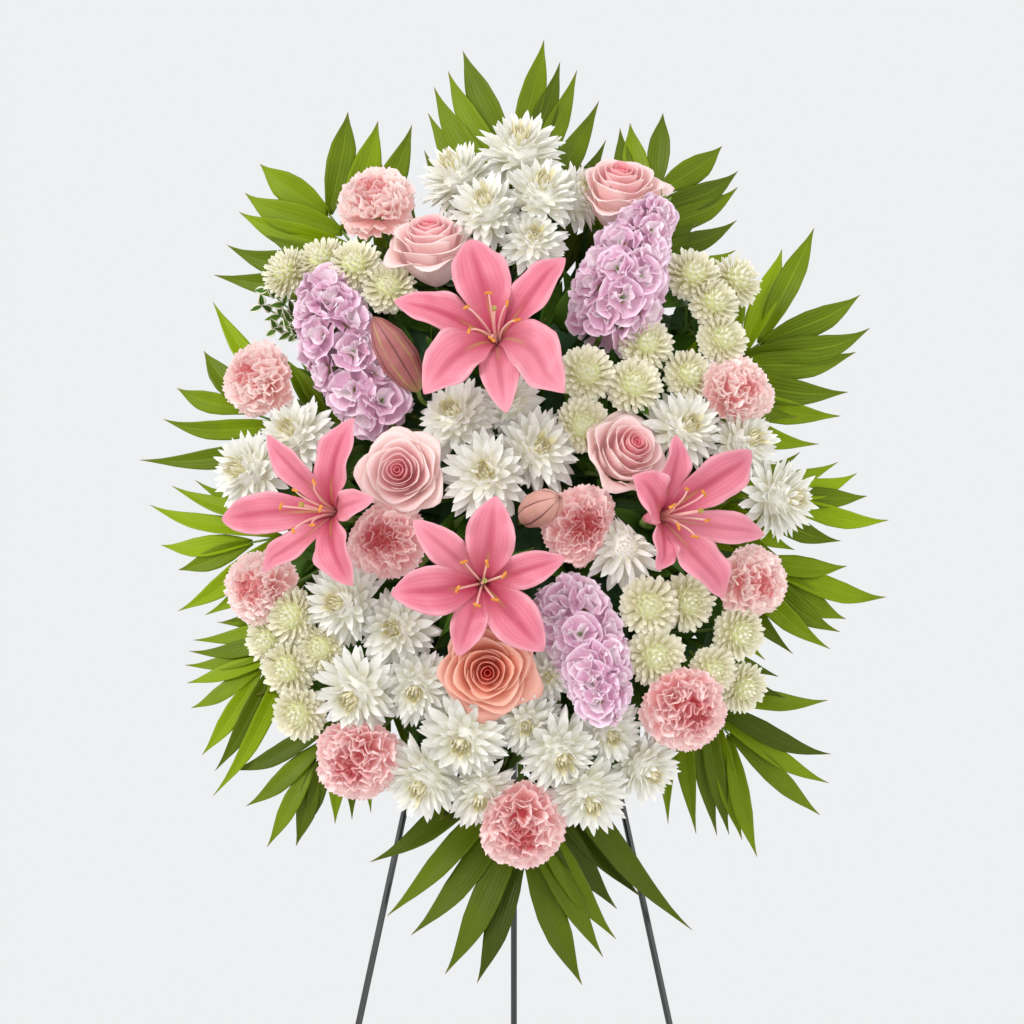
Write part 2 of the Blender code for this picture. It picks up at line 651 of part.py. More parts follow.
def layered_head(skin, head, columns, rows, seed):
    """Petals in rings: each row is (radius share, height share, ruffle share, petals in the ring)."""
    rnd = random.Random(seed)
    last = None
    first = None
    for level, (radius, height, ruffle, petals) in enumerate(rows):
        points = []
        for k in range(columns):
            angle = 2 * math.pi * k / columns
            if petals:
                notch = abs(math.cos(petals * (angle + level * 0.7) / 2)) ** 0.6
            else:
                notch = 1.0 if k % 2 else 0.0
            wave = 1 + ruffle * (notch - 0.6) + (rnd.uniform(-0.03, 0.03) if ruffle else 0)
            rise = head.radius * (height + ruffle * 0.5 * (notch - 0.5))
            points.append(crowded(head, head.polar(angle, head.radius * radius * wave, rise)))
        ring = skin.ring(points)
        if last is None:
            first = ring
        else:
            skin.bridge(last, ring)
        last = ring
    skin.tip(last, crowded(head, head.polar(0, 0, head.radius * rows[-1][1] * 0.9)))
    return first


CARNATION_RINGS = [
    (0.24, -0.5, 0, 0), (1.0, -0.04, 0.2, 0), (0.7, 0.06, 0, 0), (0.86, 0.32, 0.24, 0),
    (0.48, 0.3, 0, 0), (0.56, 0.6, 0.3, 0), (0.16, 0.46, 0, 0),
]
ROSE_RINGS = [
    (0.22, -0.66, 0, 0), (0.66, -0.42, 0, 0), (1.0, 0.12, 0.2, 5), (0.76, 0.0, 0, 0), (0.8, 0.38, 0.14, 5),
    (0.54, 0.18, 0, 0), (0.56, 0.54, 0.12, 3), (0.32, 0.26, 0, 0), (0.3, 0.58, 0.1, 3), (0.1, 0.36, 0, 0),
]


def single_bloom(row, look, rings, columns, radius, seed):
    """A rose or a carnation on its own stem."""
    head = Head(*row)
    skin = Skin()
    back = layered_head(skin, head, columns, rings, seed)
    place = head.centre - head.look * head.radius * 0.7
    back_to_stem(skin, head, back, stem_path(place, head.look, radius), radius)
    return add_object(row[0], skin.mesh(row[0]), SPRAY_FRAME, look)


def on_head_plane(head, across, down, height):
    """The point at this pixel that is so far forward in the head's own axes, as x, y and z there."""
    near, far = spot(across, down, 0.08), spot(across, down, 0.24)
    base = head.centre + head.look * height
    share = (base - near).dot(head.look) / (far - near).dot(head.look)
    return head.turned.inverted() @ (near.lerp(far, share) - head.centre)


# For the broad and the narrow petals of a lily: reach as a share of the petal's length, then rise
# and half width as shares of the flower's radius
LILY_PETALS = [
    [(0.3, 0.12, 0.11), (0.56, 0.24, 0.235), (0.8, 0.27, 0.175), (1.0, 0.2, 0)],
    [(0.3, 0.1, 0.095), (0.56, 0.2, 0.18), (0.8, 0.2, 0.13), (1.0, 0.11, 0)],
]
LILY_FOLD = 0.24
LILY_THICK = 1.1 * MM


def lily(row):
    """Six petals that curl back from a throat, with six stamens and a style in it."""
    *shape, tips = row
    head = Head(*shape)
    marks = [on_head_plane(head, *tip, LILY_PETALS[k % 2][-1][1] * head.radius) for k, tip in enumerate(tips)]
    bearings = [math.atan2(m.y, m.x) for m in marks]
    turns = [b - math.pi * k / 3 for k, b in enumerate(bearings)]
    first = math.atan2(sum(math.sin(t) for t in turns), sum(math.cos(t) for t in turns))
    skin = Skin()

    def round_ring(count, radius, height):
        turns = [first + 2 * math.pi * k / count - math.pi / 6 for k in range(count)]
        return skin.ring([head.polar(a, radius, height) for a in turns])

    rim_outer = round_ring(12, 14 * MM, -3 * MM)
    rim_inner = round_ring(12, 12.5 * MM, 0)
    for k, mark in enumerate(marks):
        cell = [rim_outer[2 * k], rim_outer[2 * k + 1], rim_outer[(2 * k + 2) % 12],
                rim_inner[(2 * k + 2) % 12], rim_inner[2 * k + 1], rim_inner[2 * k]]
        length = math.hypot(mark.x, mark.y)
        regular = first + math.pi * k / 3
        aside = math.remainder(bearings[k] - regular, 2 * math.pi)
        lily_petal(skin, head, cell, regular, aside, length, LILY_PETALS[k % 2])
    outer = round_ring(6, 7.5 * MM, -18 * MM)
    skin.join(rim_outer, outer)
    quarter = [first + math.pi * k / 2 - math.pi / 6 for k in range(4)]
    foot = skin.ring([head.polar(a, 3.2 * MM, -32 * MM) for a in quarter])
    skin.join(outer, foot)
    side_rings(skin, foot, stem_path(head.point(0, 0, -36 * MM), Vector((0, 0, 1)), 3.0 * MM), 3.0 * MM)
    inner = round_ring(6, 6.5 * MM, -9 * MM)
    skin.join(rim_inner, inner)
    base = round_ring(6, 4.6 * MM, -12.5 * MM)
    for k in range(6):
        j = (k + 1) % 6
        stamen(skin, head, [inner[k], inner[j], base[j], base[k]], first + math.pi * k / 3)
    third = [first + 2 * math.pi * k / 3 - math.pi / 6 for k in range(3)]
    low = skin.ring([head.polar(a, 1.4 * MM, -9 * MM) for a in third])
    skin.join(base, low)
    high = skin.ring([head.polar(a, 2 * MM, 44 * MM) for a in third])
    skin.bridge(low, high)
    skin.cap(high)
    return add_object(row[0], skin.mesh(row[0]), SPRAY_FRAME, "lily_pink")


def lily_petal(skin, head, cell, angle, aside, length, marks):
    """Grows one petal from a cell of the throat's rim, folded a little along its midrib."""
    line = []
    for reach, rise, _ in marks:
        bearing = angle + aside * min(1, reach / 0.75)
        line.append(head.polar(bearing, max(reach * length, 21 * MM), rise * head.radius))
    ring = cell
    for i, (here, (_, _, half)) in enumerate(zip(line[:-1], marks)):
        heading = (line[i + 1] - here).normalized()
        across = head.look.cross(heading).normalized()
        up = heading.cross(across).normalized()
        edge = across * half * head.radius
        raised = up * LILY_FOLD * half * head.radius
        thick = up * LILY_THICK / 2
        new = skin.ring([
            here - edge + raised - thick * 0.7, here - thick, here + edge + raised - thick * 0.7,
            here + edge + raised + thick * 0.7, here + thick, here - edge + raised + thick * 0.7,
        ])
        skin.bridge(ring, new)
        ring = new
    skin.tip(ring, line[-1])


def stamen(skin, head, cell, angle):
    """Grows one stamen from a cell of the throat's inside."""
    across = head.turned @ Vector((-math.sin(angle), math.cos(angle), 0))
    inward = head.turned @ Vector((-math.cos(angle), -math.sin(angle), 0))
    ring = cell
    for reach, rise, half in ((4.2, -7, 0.8), (17, 28, 1.7)):
        here = head.polar(angle, reach * MM, rise * MM)
        wide, deep = across * half * MM, inward * half * MM
        new = skin.ring([here - wide - deep, here + wide - deep, here + wide + deep, here - wide + deep])
        skin.bridge(ring, new)
        ring = new
    skin.tip(ring, head.polar(angle, 21 * MM, 37 * MM))


def lily_bud(row):
    name = row[0]
    head = Head(*row)
    long = head.radius * 2.1
    rows = [(-0.98, 0.2), (-0.7, 0.72), (-0.15, 1.0), (0.4, 0.86), (0.8, 0.4)]
    skin = Skin()
    ring = None
    first = None
    for height, share in rows:
        points = []
        for k in range(6):
            ridge = 1.0 if k % 2 else 0.84
            points.append(head.polar(math.pi * k / 3, head.radius * share * ridge, long * height))
        new = skin.ring(points)
        if ring is not None:
            skin.bridge(ring, new)
        else:
            first = new
        ring = new
    skin.tip(ring, head.polar(0, 0, long))
    place = head.point(0, 0, -long * 1.15)
    collar = skin.ring([head.polar(math.pi * k / 2, 3 * MM, -long * 1.1) for k in range(4)])
    skin.join(first, collar)
    side_rings(skin, collar, stem_path(place, Vector((0, 0, 1)), 2.2 * MM), 2.2 * MM)
    return add_object(name, skin.mesh(name), SPRAY_FRAME, "bud_rose")


def kept_out(root, point):
    """A floret's point, drawn back towards its root out of any other flower's head."""
    share = 1.0
    for head in CROWD:
        reach = point - root
        for step in range(20, 0, -1):
            if (root + reach * share * step / 20 - head.centre).length > head.radius + NEIGHBOUR_GAP:
                share *= step / 20
                break
    return root + (point - root) * max(share, 0.12)


def stock(row, columns=6, rows=4):
    """A spike of florets: a core along the spike, with a flared floret on each of its cells."""
    name, marks = row
    rnd = random.Random(name)
    line = [spot(x, y, dome_depth(x, y) + ahead * MM) for x, y, _, ahead in marks]
    radii = [r * MM for _, _, r, _ in marks]
    skin = Skin()
    rings = []
    for level in range(rows + 1):
        share = level / rows * (len(line) - 1)
        i = min(int(share), len(line) - 2)
        here = line[i].lerp(line[i + 1], share - i)
        radius = (radii[i] + (radii[i + 1] - radii[i]) * (share - i)) * 0.5
        heading = (line[i + 1] - line[i]).normalized()
        side, other = square_on(heading, Vector((0, 0, 1)))
        points = []
        for k in range(columns):
            angle = 2 * math.pi * (k + 0.5 * level) / columns
            points.append(here + (side * math.cos(angle) + other * math.sin(angle)) * radius)
        rings.append((skin.ring(points), here, radius))
    for level in range(rows):
        near, far = rings[level], rings[level + 1]
        middle = (near[1] + far[1]) / 2
        for k in range(columns):
            j = (k + 1) % columns
            corners = [near[0][k], near[0][j], far[0][j], far[0][k]]
            core = sum((skin.points[c] for c in corners), Vector()) / 4
            out = (core - middle).normalized()
            flare = (near[2] + far[2]) / 2
            edge = []
            for a, b in zip(corners, corners[1:] + corners[:1]):
                corner, between = skin.points[a], (skin.points[a] + skin.points[b]) / 2
                edge.append(corner + (core - corner) * 0.04 + out * flare * rnd.uniform(0.85, 1.0))
                edge.append(between + (core - between) * 0.36 + out * flare * rnd.uniform(0.7, 0.8))
            rim = skin.ring([kept_out(core, p) for p in edge])
            skin.join(corners, rim)
            skin.tip(rim, kept_out(core, core + out * flare * 0.66))
    skin.tip(rings[0][0], line[0] - (line[1] - line[0]).normalized() * radii[0] * 0.5)
    foot = line[-1] + (line[-1] - line[-2]).normalized() * 8 * MM - Vector((0, 0, 4 * MM))
    side, other = square_on((line[-1] - line[-2]).normalized(), Vector((0, 0, 1)))
    turns = [2 * math.pi * (k + 0.5 * rows) / columns for k in (0, columns / 4, columns / 2, 3 * columns / 4)]
    collar = skin.ring([foot + (side * math.cos(a) + other * math.sin(a)) * 4 * MM for a in turns])
    skin.join(rings[-1][0], collar)
    side_rings(skin, collar, stem_path(foot, Vector((0, 0, 1)), 2.6 * MM), 2.6 * MM)
    return add_object(name, skin.mesh(name), SPRAY_FRAME, "stock_lilac")


def near_line(point, start, end):
    """The distance from a point to a straight piece of line, and how far along it that is."""
    along = end - start
    share = max(0.0, min(1.0, (point - start).dot(along) / along.length_squared))
    return (point - start - along * share).length, share


def leaflet_widths(spans, widest, rib):
    """Half widths at which the leaflets of a frond clear each other and the rib."""
    halves = [widest] * len(spans)

    def half_at(k, share):
        if share < LEAFLET_WIDEST:
            return halves[k] * (0.4 + 0.6 * share / LEAFLET_WIDEST)
        return halves[k] * (1 - share) / (1 - LEAFLET_WIDEST)

    for _ in range(40):
        tight = set()
        for k, (root, tip) in enumerate(spans):
            for step in range(3, 16):
                point = root.lerp(tip, step / 16)
                here = half_at(k, step / 16)
                if near_line(point, *rib)[0] < here + RIB_RADIUS + LEAFLET_ROOM:
                    tight.add(k)
                for j, other in enumerate(spans):
                    gap, share = near_line(point, *other)
                    if j != k and gap < here + half_at(j, share) + LEAFLET_ROOM:
                        tight.add(k if halves[k] > halves[j] else j)
        if not tight:
            break
        for k in tight:
            halves[k] *= 0.93
    return halves


def leaflet(skin, corners, tip, half_width):
    """Grows a leaflet from the four corners of a cell, widest a little past its middle."""
    up = Vector((0, 0, 1))
    root = sum((skin.points[c] for c in corners), Vector()) / 4
    heading = (tip - root).normalized()
    side = heading.cross(up).normalized()
    lift = side.cross(heading).normalized()
    middle = root.lerp(tip, LEAFLET_WIDEST)
    order = []
    for c in corners:
        off = skin.points[c] - root
        flat = math.copysign(1, off.dot(side))
        high = math.copysign(1, off.dot(lift))
        order.append(middle + side * half_width * flat + lift * LEAFLET_THICK / 2 * high)
    ring = skin.ring(order)
    skin.bridge(corners, ring)
    skin.tip(ring, tip)


def frond(row, look="palm_green"):
    """A frond: a rib from the foam with leaflets grown from its two sides."""
    name, (across, down), foot_depth, end_depth, width, tips = row
    end = spot(across, down, end_depth * MM)
    entry, inwards = on_foam(Vector((end.x * 3, end.y * 3, 0)), foot_depth * MM)
    entry = free_entry(entry, inwards, 1.42 * RIB_RADIUS)
    stab(entry, inwards, 1.42 * RIB_RADIUS)
    outside = entry - inwards * BEND_OUTSIDE
    heading = (end - outside).normalized()
    reach = (end - outside).length
    sides = ([], [])
    for tip in tips:
        way = spot(*tip, end_depth * MM) - (end - heading * reach * LEAFLET_SORT)
        turned = math.atan2(heading.x * way.y - heading.y * way.x, heading.x * way.x + heading.y * way.y)
        sides[0 if turned > 0 else 1].append((abs(turned), tip))
    count = max(len(side) for side in sides)
    ribs = [outside + heading * reach * (1 - 0.75 * k / count) for k in range(count + 1)]
    line = [*ribs, outside, entry + inwards * STEM_SUNK]
    toward = Vector((0, 0, 1))
    skin = Skin()
    rings = []
    for i, here in enumerate(line):
        before, after = line[max(i - 1, 0)], line[min(i + 1, len(line) - 1)]
        way = (after - before).normalized()
        side = toward.cross(way).normalized()
        lift = way.cross(side).normalized()
        thick = RIB_RADIUS * min(1.0, 0.25 + 0.4 * i)
        rings.append(skin.ring([here + side * thick + lift * thick, here - side * thick + lift * thick,
                                here - side * thick - lift * thick, here + side * thick - lift * thick]))
    leaves = []
    for marks, edge in zip(sides, (1, 3)):
        for cell, (_, mark) in enumerate(sorted(marks)):
            near, far = rings[cell], rings[cell + 1]
            corners = [near[edge], near[(edge + 1) % 4], far[(edge + 1) % 4], far[edge]]
            root = sum((skin.points[c] for c in corners), Vector()) / 4
            leaves.append((cell, edge, corners, root, spot(*mark, (end_depth - 4 - 3 * cell) * MM)))
    taken = {(cell, edge) for cell, edge, _, _, _ in leaves}
    spans = [(root, tip) for _, _, _, root, tip in leaves]
    halves = leaflet_widths(spans, width / 2 * MM, (line[0], line[-2]))
    for half, (_, _, corners, _, tip) in zip(halves, leaves):
        leaflet(skin, corners, tip, half)
    for i in range(len(rings) - 1):
        for edge in range(4):
            if (i, edge) not in taken:
                j = (edge + 1) % 4
                skin.faces.append((rings[i][edge], rings[i][j], rings[i + 1][j], rings[i + 1][edge]))
    skin.tip(rings[0], end + heading * 1.5 * MM)
    skin.cap(rings[-1])
    return add_object(name, skin.mesh(name), SPRAY_FRAME, look)


def extruded(name, outline, left, right):
    """A solid with the given outline of heights and depths, from one side to the other."""
    skin = Skin()
    near = skin.ring([(left, y, z) for y, z in outline])
    far = skin.ring([(right, y, z) for y, z in outline])
    skin.bridge(near, far)
    skin.cap(near)
    skin.cap(far)
    return skin.mesh(name)


def box_mesh(name, low, high):
    shape = bmesh.new()
    bmesh.ops.create_cube(shape, size=1)
    size = Vector(high) - Vector(low)
    middle = (Vector(high) + Vector(low)) / 2
    bmesh.ops.scale(shape, vec=size, verts=shape.verts[:])
    bmesh.ops.translate(shape, vec=middle, verts=shape.verts[:])
    mesh = bpy.data.meshes.new(name)
    shape.to_mesh(mesh)
    shape.free()
    return mesh


def rod_mesh(name, start, end, radius, sides=ROD_SIDES, start_cut=None):
    """A round rod. With start_cut, a height, its start is cut level there."""
    heading = (end - start).normalized()
    side, other = square_on(heading, Vector((1, 0, 0)))
    skin = Skin()
    spokes = []
    for k in range(sides):
        angle = 2 * math.pi * k / sides
        spokes.append((side * math.cos(angle) + other * math.sin(angle)) * radius)
    near = [start + s for s in spokes]
    if start_cut is not None:
        near = [p - heading * ((p.z - start_cut) / heading.z) for p in near]
    first = skin.ring(near)
    skin.cap(list(reversed(first)))
    last = skin.ring([end + s for s in spokes])
    skin.bridge(first, last)
    skin.cap(last)
    return skin.mesh(name)


def foam():
    half_x, half_y = FOAM_WIDTH / 2, FOAM_HEIGHT / 2
    mesh = box_mesh("foam_block", (-half_x, -half_y, FOAM_BACK_DEPTH), (half_x, half_y, FOAM_FRONT_DEPTH))
    holes = []
    for entry, inwards, radius, sunk in STABS:
        wide = radius / math.cos(math.pi / HOLE_SIDES)
        holes.append(rod_mesh("hole", entry - inwards * 5 * MM, entry + inwards * sunk, wide, HOLE_SIDES))
    return add_object("foam_block", combine(mesh, holes, "DIFFERENCE"), SPRAY_FRAME, "wet_foam", smooth=False)


def tray(stop):
    """A shallow plastic tray round the foam's back, with two lugs that hang over the stop wire."""
    ease = TRAY_WALL + CLEAR
    half_x, half_y = FOAM_WIDTH / 2 + ease, FOAM_HEIGHT / 2 + ease
    mesh = box_mesh("foam_tray", (-half_x, -half_y, TRAY_BACK_DEPTH), (half_x, half_y, TRAY_RIM_DEPTH))
    inner_x, inner_y = half_x - TRAY_WALL, half_y - TRAY_WALL
    hollow = box_mesh("hollow", (-inner_x, -inner_y, TRAY_BACK_DEPTH + TRAY_WALL), (inner_x, inner_y, 1))
    mesh = combine(mesh, [hollow], "DIFFERENCE")
    wire = SPRAY.inverted() @ stop
    above = wire.y + CROSS_WIRE_RADIUS + CLEAR
    behind = wire.z - CROSS_WIRE_RADIUS - CLEAR
    in_tray = TRAY_BACK_DEPTH + TRAY_WALL / 2
    outline = [(above, in_tray), (above, behind), (above - LUG_BELOW, behind),
               (above - LUG_BELOW, behind - LUG_THICK), (above + LUG_ABOVE, behind - LUG_THICK),
               (above + LUG_ABOVE, in_tray)]
    lugs = [extruded("lug", outline, LUG_NEAR, LUG_FAR), extruded("lug", outline, -LUG_FAR, -LUG_NEAR)]
    return add_object("foam_tray", combine(mesh, lugs, "UNION"), SPRAY_FRAME, "tray_plastic", smooth=False)


def leg_line(side):
    """A front leg's axis, from its foot to its top."""
    foot_x = side * (LEG_TOP_HALF_GAP + LEG_SPLAY * EASEL_HEIGHT)
    foot = Vector((foot_x, -EASEL_HEIGHT * math.tan(EASEL_LEAN), 0))
    return foot, Vector((side * LEG_TOP_HALF_GAP, 0, EASEL_HEIGHT))


def half_gap_at(height):
    return LEG_TOP_HALF_GAP + LEG_SPLAY * (EASEL_HEIGHT - height)


def easel_point(along_from_top, behind):
    """A point on the easel's middle line: so far below its top along the legs, and behind them."""
    down = Vector((0, -math.sin(EASEL_LEAN), -math.cos(EASEL_LEAN)))
    back = Vector((0, math.cos(EASEL_LEAN), -math.sin(EASEL_LEAN)))
    return Vector((0, 0, EASEL_HEIGHT)) + down * along_from_top + back * behind


def easel():
    for side, name in ((-1, "front_leg_left"), (1, "front_leg_right")):
        foot, top = leg_line(side)
        add_object(name, rod_mesh(name, foot, top, LEG_RADIUS, start_cut=0.0), ROOT, "black_enamel")
    off = LEG_RADIUS + CLEAR + CROSS_WIRE_RADIUS
    pivot = easel_point(HINGE_BELOW_TOP, off)
    cross_wire("hinge_wire", pivot, half_gap_at(pivot.z) + HINGE_WIRE_OVERHANG)
    rear_up = Vector((0, -math.sin(REAR_LEG_LEAN), math.cos(REAR_LEG_LEAN)))
    rear_front = Vector((0, -math.cos(REAR_LEG_LEAN), -math.sin(REAR_LEG_LEAN)))
    back = Vector((0, math.cos(EASEL_LEAN), -math.sin(EASEL_LEAN)))
    # The stop wire lies against the front of the front legs, and the rear leg's tail against it.
    rise = (off + off - rear_front.dot(back) * -off) / -rear_up.dot(back)
    stop = pivot + rear_up * rise + rear_front * off
    cross_wire("stop_wire", stop, half_gap_at(stop.z) + STOP_WIRE_OVERHANG)
    rear_leg(pivot, rear_up)
    lower_rail()
    return stop


def cross_wire(name, middle, half_length):
    reach = Vector((half_length, 0, 0))
    mesh = rod_mesh(name, middle - reach, middle + reach, CROSS_WIRE_RADIUS)
    add_object(name, mesh, ROOT, "black_enamel")


def rear_leg(pivot, up):
    """The rear leg, with its hinge eye round the hinge wire. Its origin is on the hinge's axis."""
    HINGE.location = pivot
    foot = up * (-pivot.z / up.z)
    mesh = rod_mesh("rear_leg", foot, up * TAIL_LENGTH, LEG_RADIUS, start_cut=-pivot.z)
    across = Vector((EYE_WIDTH / 2, 0, 0))
    mesh = combine(mesh, [rod_mesh("eye", -across, across, EYE_RADIUS, 10)], "UNION")
    mesh = combine(mesh, [rod_mesh("bore", -across * 3, across * 3, EYE_BORE, 10)], "DIFFERENCE")
    add_object("rear_leg", mesh, HINGE, "black_enamel")


def lower_rail():
    """The cross wire under the tray, with two hooks that the tray stands in."""
    local = Vector((0, -RAIL_BELOW_FOAM_CENTRE, LEG_RADIUS + CLEAR + CROSS_WIRE_RADIUS))
    half = half_gap_at((SPRAY @ local).z) + RAIL_OVERHANG
    across = Vector((half, 0, 0))
    mesh = rod_mesh("lower_rail", local - across, local + across, CROSS_WIRE_RADIUS)
    seat = -FOAM_HEIGHT / 2 - TRAY_WALL - 2 * CLEAR - HOOK_RADIUS
    hooks = []
    for side in (-1, 1):
        hook = Skin()
        x = side * HOOK_SPACING
        path = [Vector((x, local.y, local.z)), Vector((x, seat, local.z)), Vector((x, seat, HOOK_END_DEPTH))]
        stem_rings(hook, path, [HOOK_RADIUS] * 3, 6)
        hooks.append(hook.mesh("hook"))
    add_object("lower_rail", combine(mesh, hooks, "UNION"), SPRAY_FRAME, "black_enamel")


def empty(name, parent=None):
    obj = bpy.data.objects.new(name, None)
    bpy.context.scene.collection.objects.link(obj)
    obj.parent = parent
    return obj


def stand_on_origin():
    """Moves the whole spray so that the middle of its box's underside is at the origin."""
    bpy.context.view_layer.update()
    corners = [o.matrix_world @ v.co for o in bpy.data.objects if o.type == "MESH" for v in o.data.vertices]
    low = [min(c[i] for c in corners) for i in range(3)]
    high = [max(c[i] for c in corners) for i in range(3)]
    ROOT.location = (-(low[0] + high[0]) / 2, -(low[1] + high[1]) / 2, -low[2])


for old in list(bpy.data.objects):
    bpy.data.objects.remove(old)
ROOT = empty("standing_spray")
SPRAY_FRAME = empty("spray_frame", ROOT)
SPRAY_FRAME.matrix_world = SPRAY
HINGE = empty("rear_leg_hinge", ROOT)
bpy.context.view_layer.update()


def build():
    stop = easel()
    for row in FRONDS:
        frond(row)
    for row in LILIES:
        lily(row)
    for row in LILY_BUDS:
        lily_bud(row)
    for k, row in enumerate(ROSES):
        look = "rose_peach" if row[0] == "rose_peach" else "rose_blush"
        single_bloom(row, look, ROSE_RINGS, 12, 2.8 * MM, k)
    for k, row in enumerate(CARNATIONS):
        single_bloom(row, "carnation_pink", CARNATION_RINGS, 14, 2.2 * MM, 20 + k)
    for k, (name, rows) in enumerate(WHITE_SPRAYS):
        spray(name, rows, "mum_white", white_head, 2.4 * MM, 100 + 10 * k)
    for k, (name, rows) in enumerate(CREAM_SPRAYS):
        spray(name, rows, "pom_cream", cream_head, 2.2 * MM, 200 + 10 * k)
    for row in STOCKS:
        stock(row)
    for row in FILLERS:
        frond(row, "filler_green")
    tray(stop)
    foam()
    stand_on_origin()


build()
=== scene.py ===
"""The looks of a standing funeral spray: every flower and frond petal by petal and leaf by leaf."""

import json
import math

import bpy
import numpy as np
from mathutils import Matrix, Quaternion, Vector


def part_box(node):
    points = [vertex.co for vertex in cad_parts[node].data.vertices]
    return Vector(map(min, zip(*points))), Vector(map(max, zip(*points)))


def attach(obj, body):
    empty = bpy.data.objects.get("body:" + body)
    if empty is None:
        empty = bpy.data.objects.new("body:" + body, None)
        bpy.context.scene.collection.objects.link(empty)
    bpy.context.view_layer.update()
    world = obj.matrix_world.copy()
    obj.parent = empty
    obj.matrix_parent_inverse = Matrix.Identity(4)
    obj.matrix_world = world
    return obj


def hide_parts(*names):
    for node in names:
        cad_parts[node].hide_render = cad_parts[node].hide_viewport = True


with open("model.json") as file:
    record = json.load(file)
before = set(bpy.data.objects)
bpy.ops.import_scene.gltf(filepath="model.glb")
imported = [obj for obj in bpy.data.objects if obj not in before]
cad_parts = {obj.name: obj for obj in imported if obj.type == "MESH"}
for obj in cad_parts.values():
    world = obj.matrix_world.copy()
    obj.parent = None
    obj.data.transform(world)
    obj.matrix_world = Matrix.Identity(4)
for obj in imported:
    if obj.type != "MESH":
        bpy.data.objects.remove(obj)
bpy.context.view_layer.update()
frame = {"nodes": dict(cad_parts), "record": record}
MM = 0.001
GOLDEN = math.radians(137.508)
# The way straight out of the spray's front, in the spray's own axes
AHEAD = Vector((0, 0, 1))

# The easel's lean, and the foam that every stem stands in
LEAN = math.radians(10)
FOAM_WIDTH, FOAM_HEIGHT, FOAM_THICKNESS = 210 * MM, 310 * MM, 85 * MM
HALF_X, HALF_Y = FOAM_WIDTH / 2, FOAM_HEIGHT / 2
FOAM_BACK, FOAM_FRONT = 12.7 * MM, 97.7 * MM
TRAY_BACK, RIM_INSET, MOULDED_RIB = 10 * MM, 8 * MM, 1.4 * MM
STEM_SUNK = 30 * MM
HOLE_EASE = 0.35 * MM
HOLE_SPACING = 6 * MM
FOAM_MARGIN = 10 * MM
FRONT_INSET, SIDE_INSET, END_INSET = 38 * MM, 38 * MM, 14 * MM
BLOOM_ENTRY, FORK_ENTRY = FOAM_BACK + 60 * MM, FOAM_BACK + 50 * MM
BEND_OUTSIDE = 7 * MM
RIB_RADIUS = 2.2 * MM
RIB_HOLE = 1.42 * RIB_RADIUS
# The radii of the other main stems
ROSE_STEM, CARNATION_STEM, STOCK_STEM = 2.8 * MM, 2.2 * MM, 2.6 * MM
LILY_STEM, BUD_STEM, WHITE_STEM, CREAM_STEM = 3 * MM, 2.2 * MM, 2.4 * MM, 2.2 * MM
# How far a stem runs straight behind its head, before its hole, and clear of the foam's front
RUN_BEHIND, RUN_BEFORE, CLEAR_OF_FRONT = 30 * MM, 22 * MM, 8 * MM
# The spiral along which a free hole is looked for: how often, its turn and its step
HOLE_TRIES, HOLE_TURN, HOLE_STEP = 200, 2.4, 1.6 * MM
FORK_BEHIND = 50 * MM
FORK_CLEAR, FORK_AHEAD = 18 * MM, 24 * MM
GREENS_INSET = 8 * MM

# The photograph: its middle, its scale at the legs' plane, and where the camera stands
PHOTO_MIDDLE = (514, 512)
PIXEL = 0.95 * MM
CAMERA_DISTANCE = 3.6
CAMERA_ABOVE_FOAM = -6 * MM
SENSOR = 36.0
PHOTO_WIDTH = 1024

# The dome of flowers
DOME_HALF_WIDTH, DOME_HALF_HEIGHT = 300 * MM, 375 * MM
DOME_RIM_DEPTH, DOME_RISE = 62 * MM, 96 * MM
# How far behind the spray lies what its heads face away from, sideways and upwards
FACE_SPREAD = (0.45, 0.55)
# How deep two heads mingle, and the share of the way to their wall that stays unpressed
HEADS_MINGLE = 5 * MM
KNEE = 0.55

# One row for each head: name, pixels across and down, ahead of the dome in mm, diameter in mm,
# turn to the right, nod upwards and spin in degrees. A lily's row also has its petals' tips.
LILIES = [
    ("lily_top", 495, 335, 40, 180, -4, 4, 0,
     [(565, 258), (469, 240), (394, 301), (424, 394), (506, 413), (564, 393)]),
    ("lily_left", 327, 511, 50, 178, -12, 0, 0,
     [(374, 499), (354, 418), (268, 435), (222, 519), (263, 572), (353, 586)]),
    ("lily_right", 667, 516, 44, 178, 17, 0, 0,
     [(751, 451), (675, 435), (632, 476), (657, 570), (723, 598), (764, 535)]),
    ("lily_low", 482, 583, 40, 172, 2, 2, 0,
     [(565, 558), (496, 496), (413, 520), (391, 594), (458, 656), (544, 651)]),
]
LILY_BUDS = [
    ("lily_bud_large", 396, 354, 24, 38, -46, 42, 0),
    ("lily_bud_small", 541, 508, 30, 34, 24, 10, 0),
]
ROSES = [
    ("rose_top_left", 432, 246, 6, 82, -2, 30, 10),
    ("rose_top_right", 620, 192, 6, 84, -8, 22, 40),
    ("rose_middle", 402, 474, 8, 76, 2, 0, 0),
    ("rose_right", 626, 453, 6, 76, 14, 16, 25),
    ("rose_peach", 488, 670, 18, 82, 2, 4, 50),
]
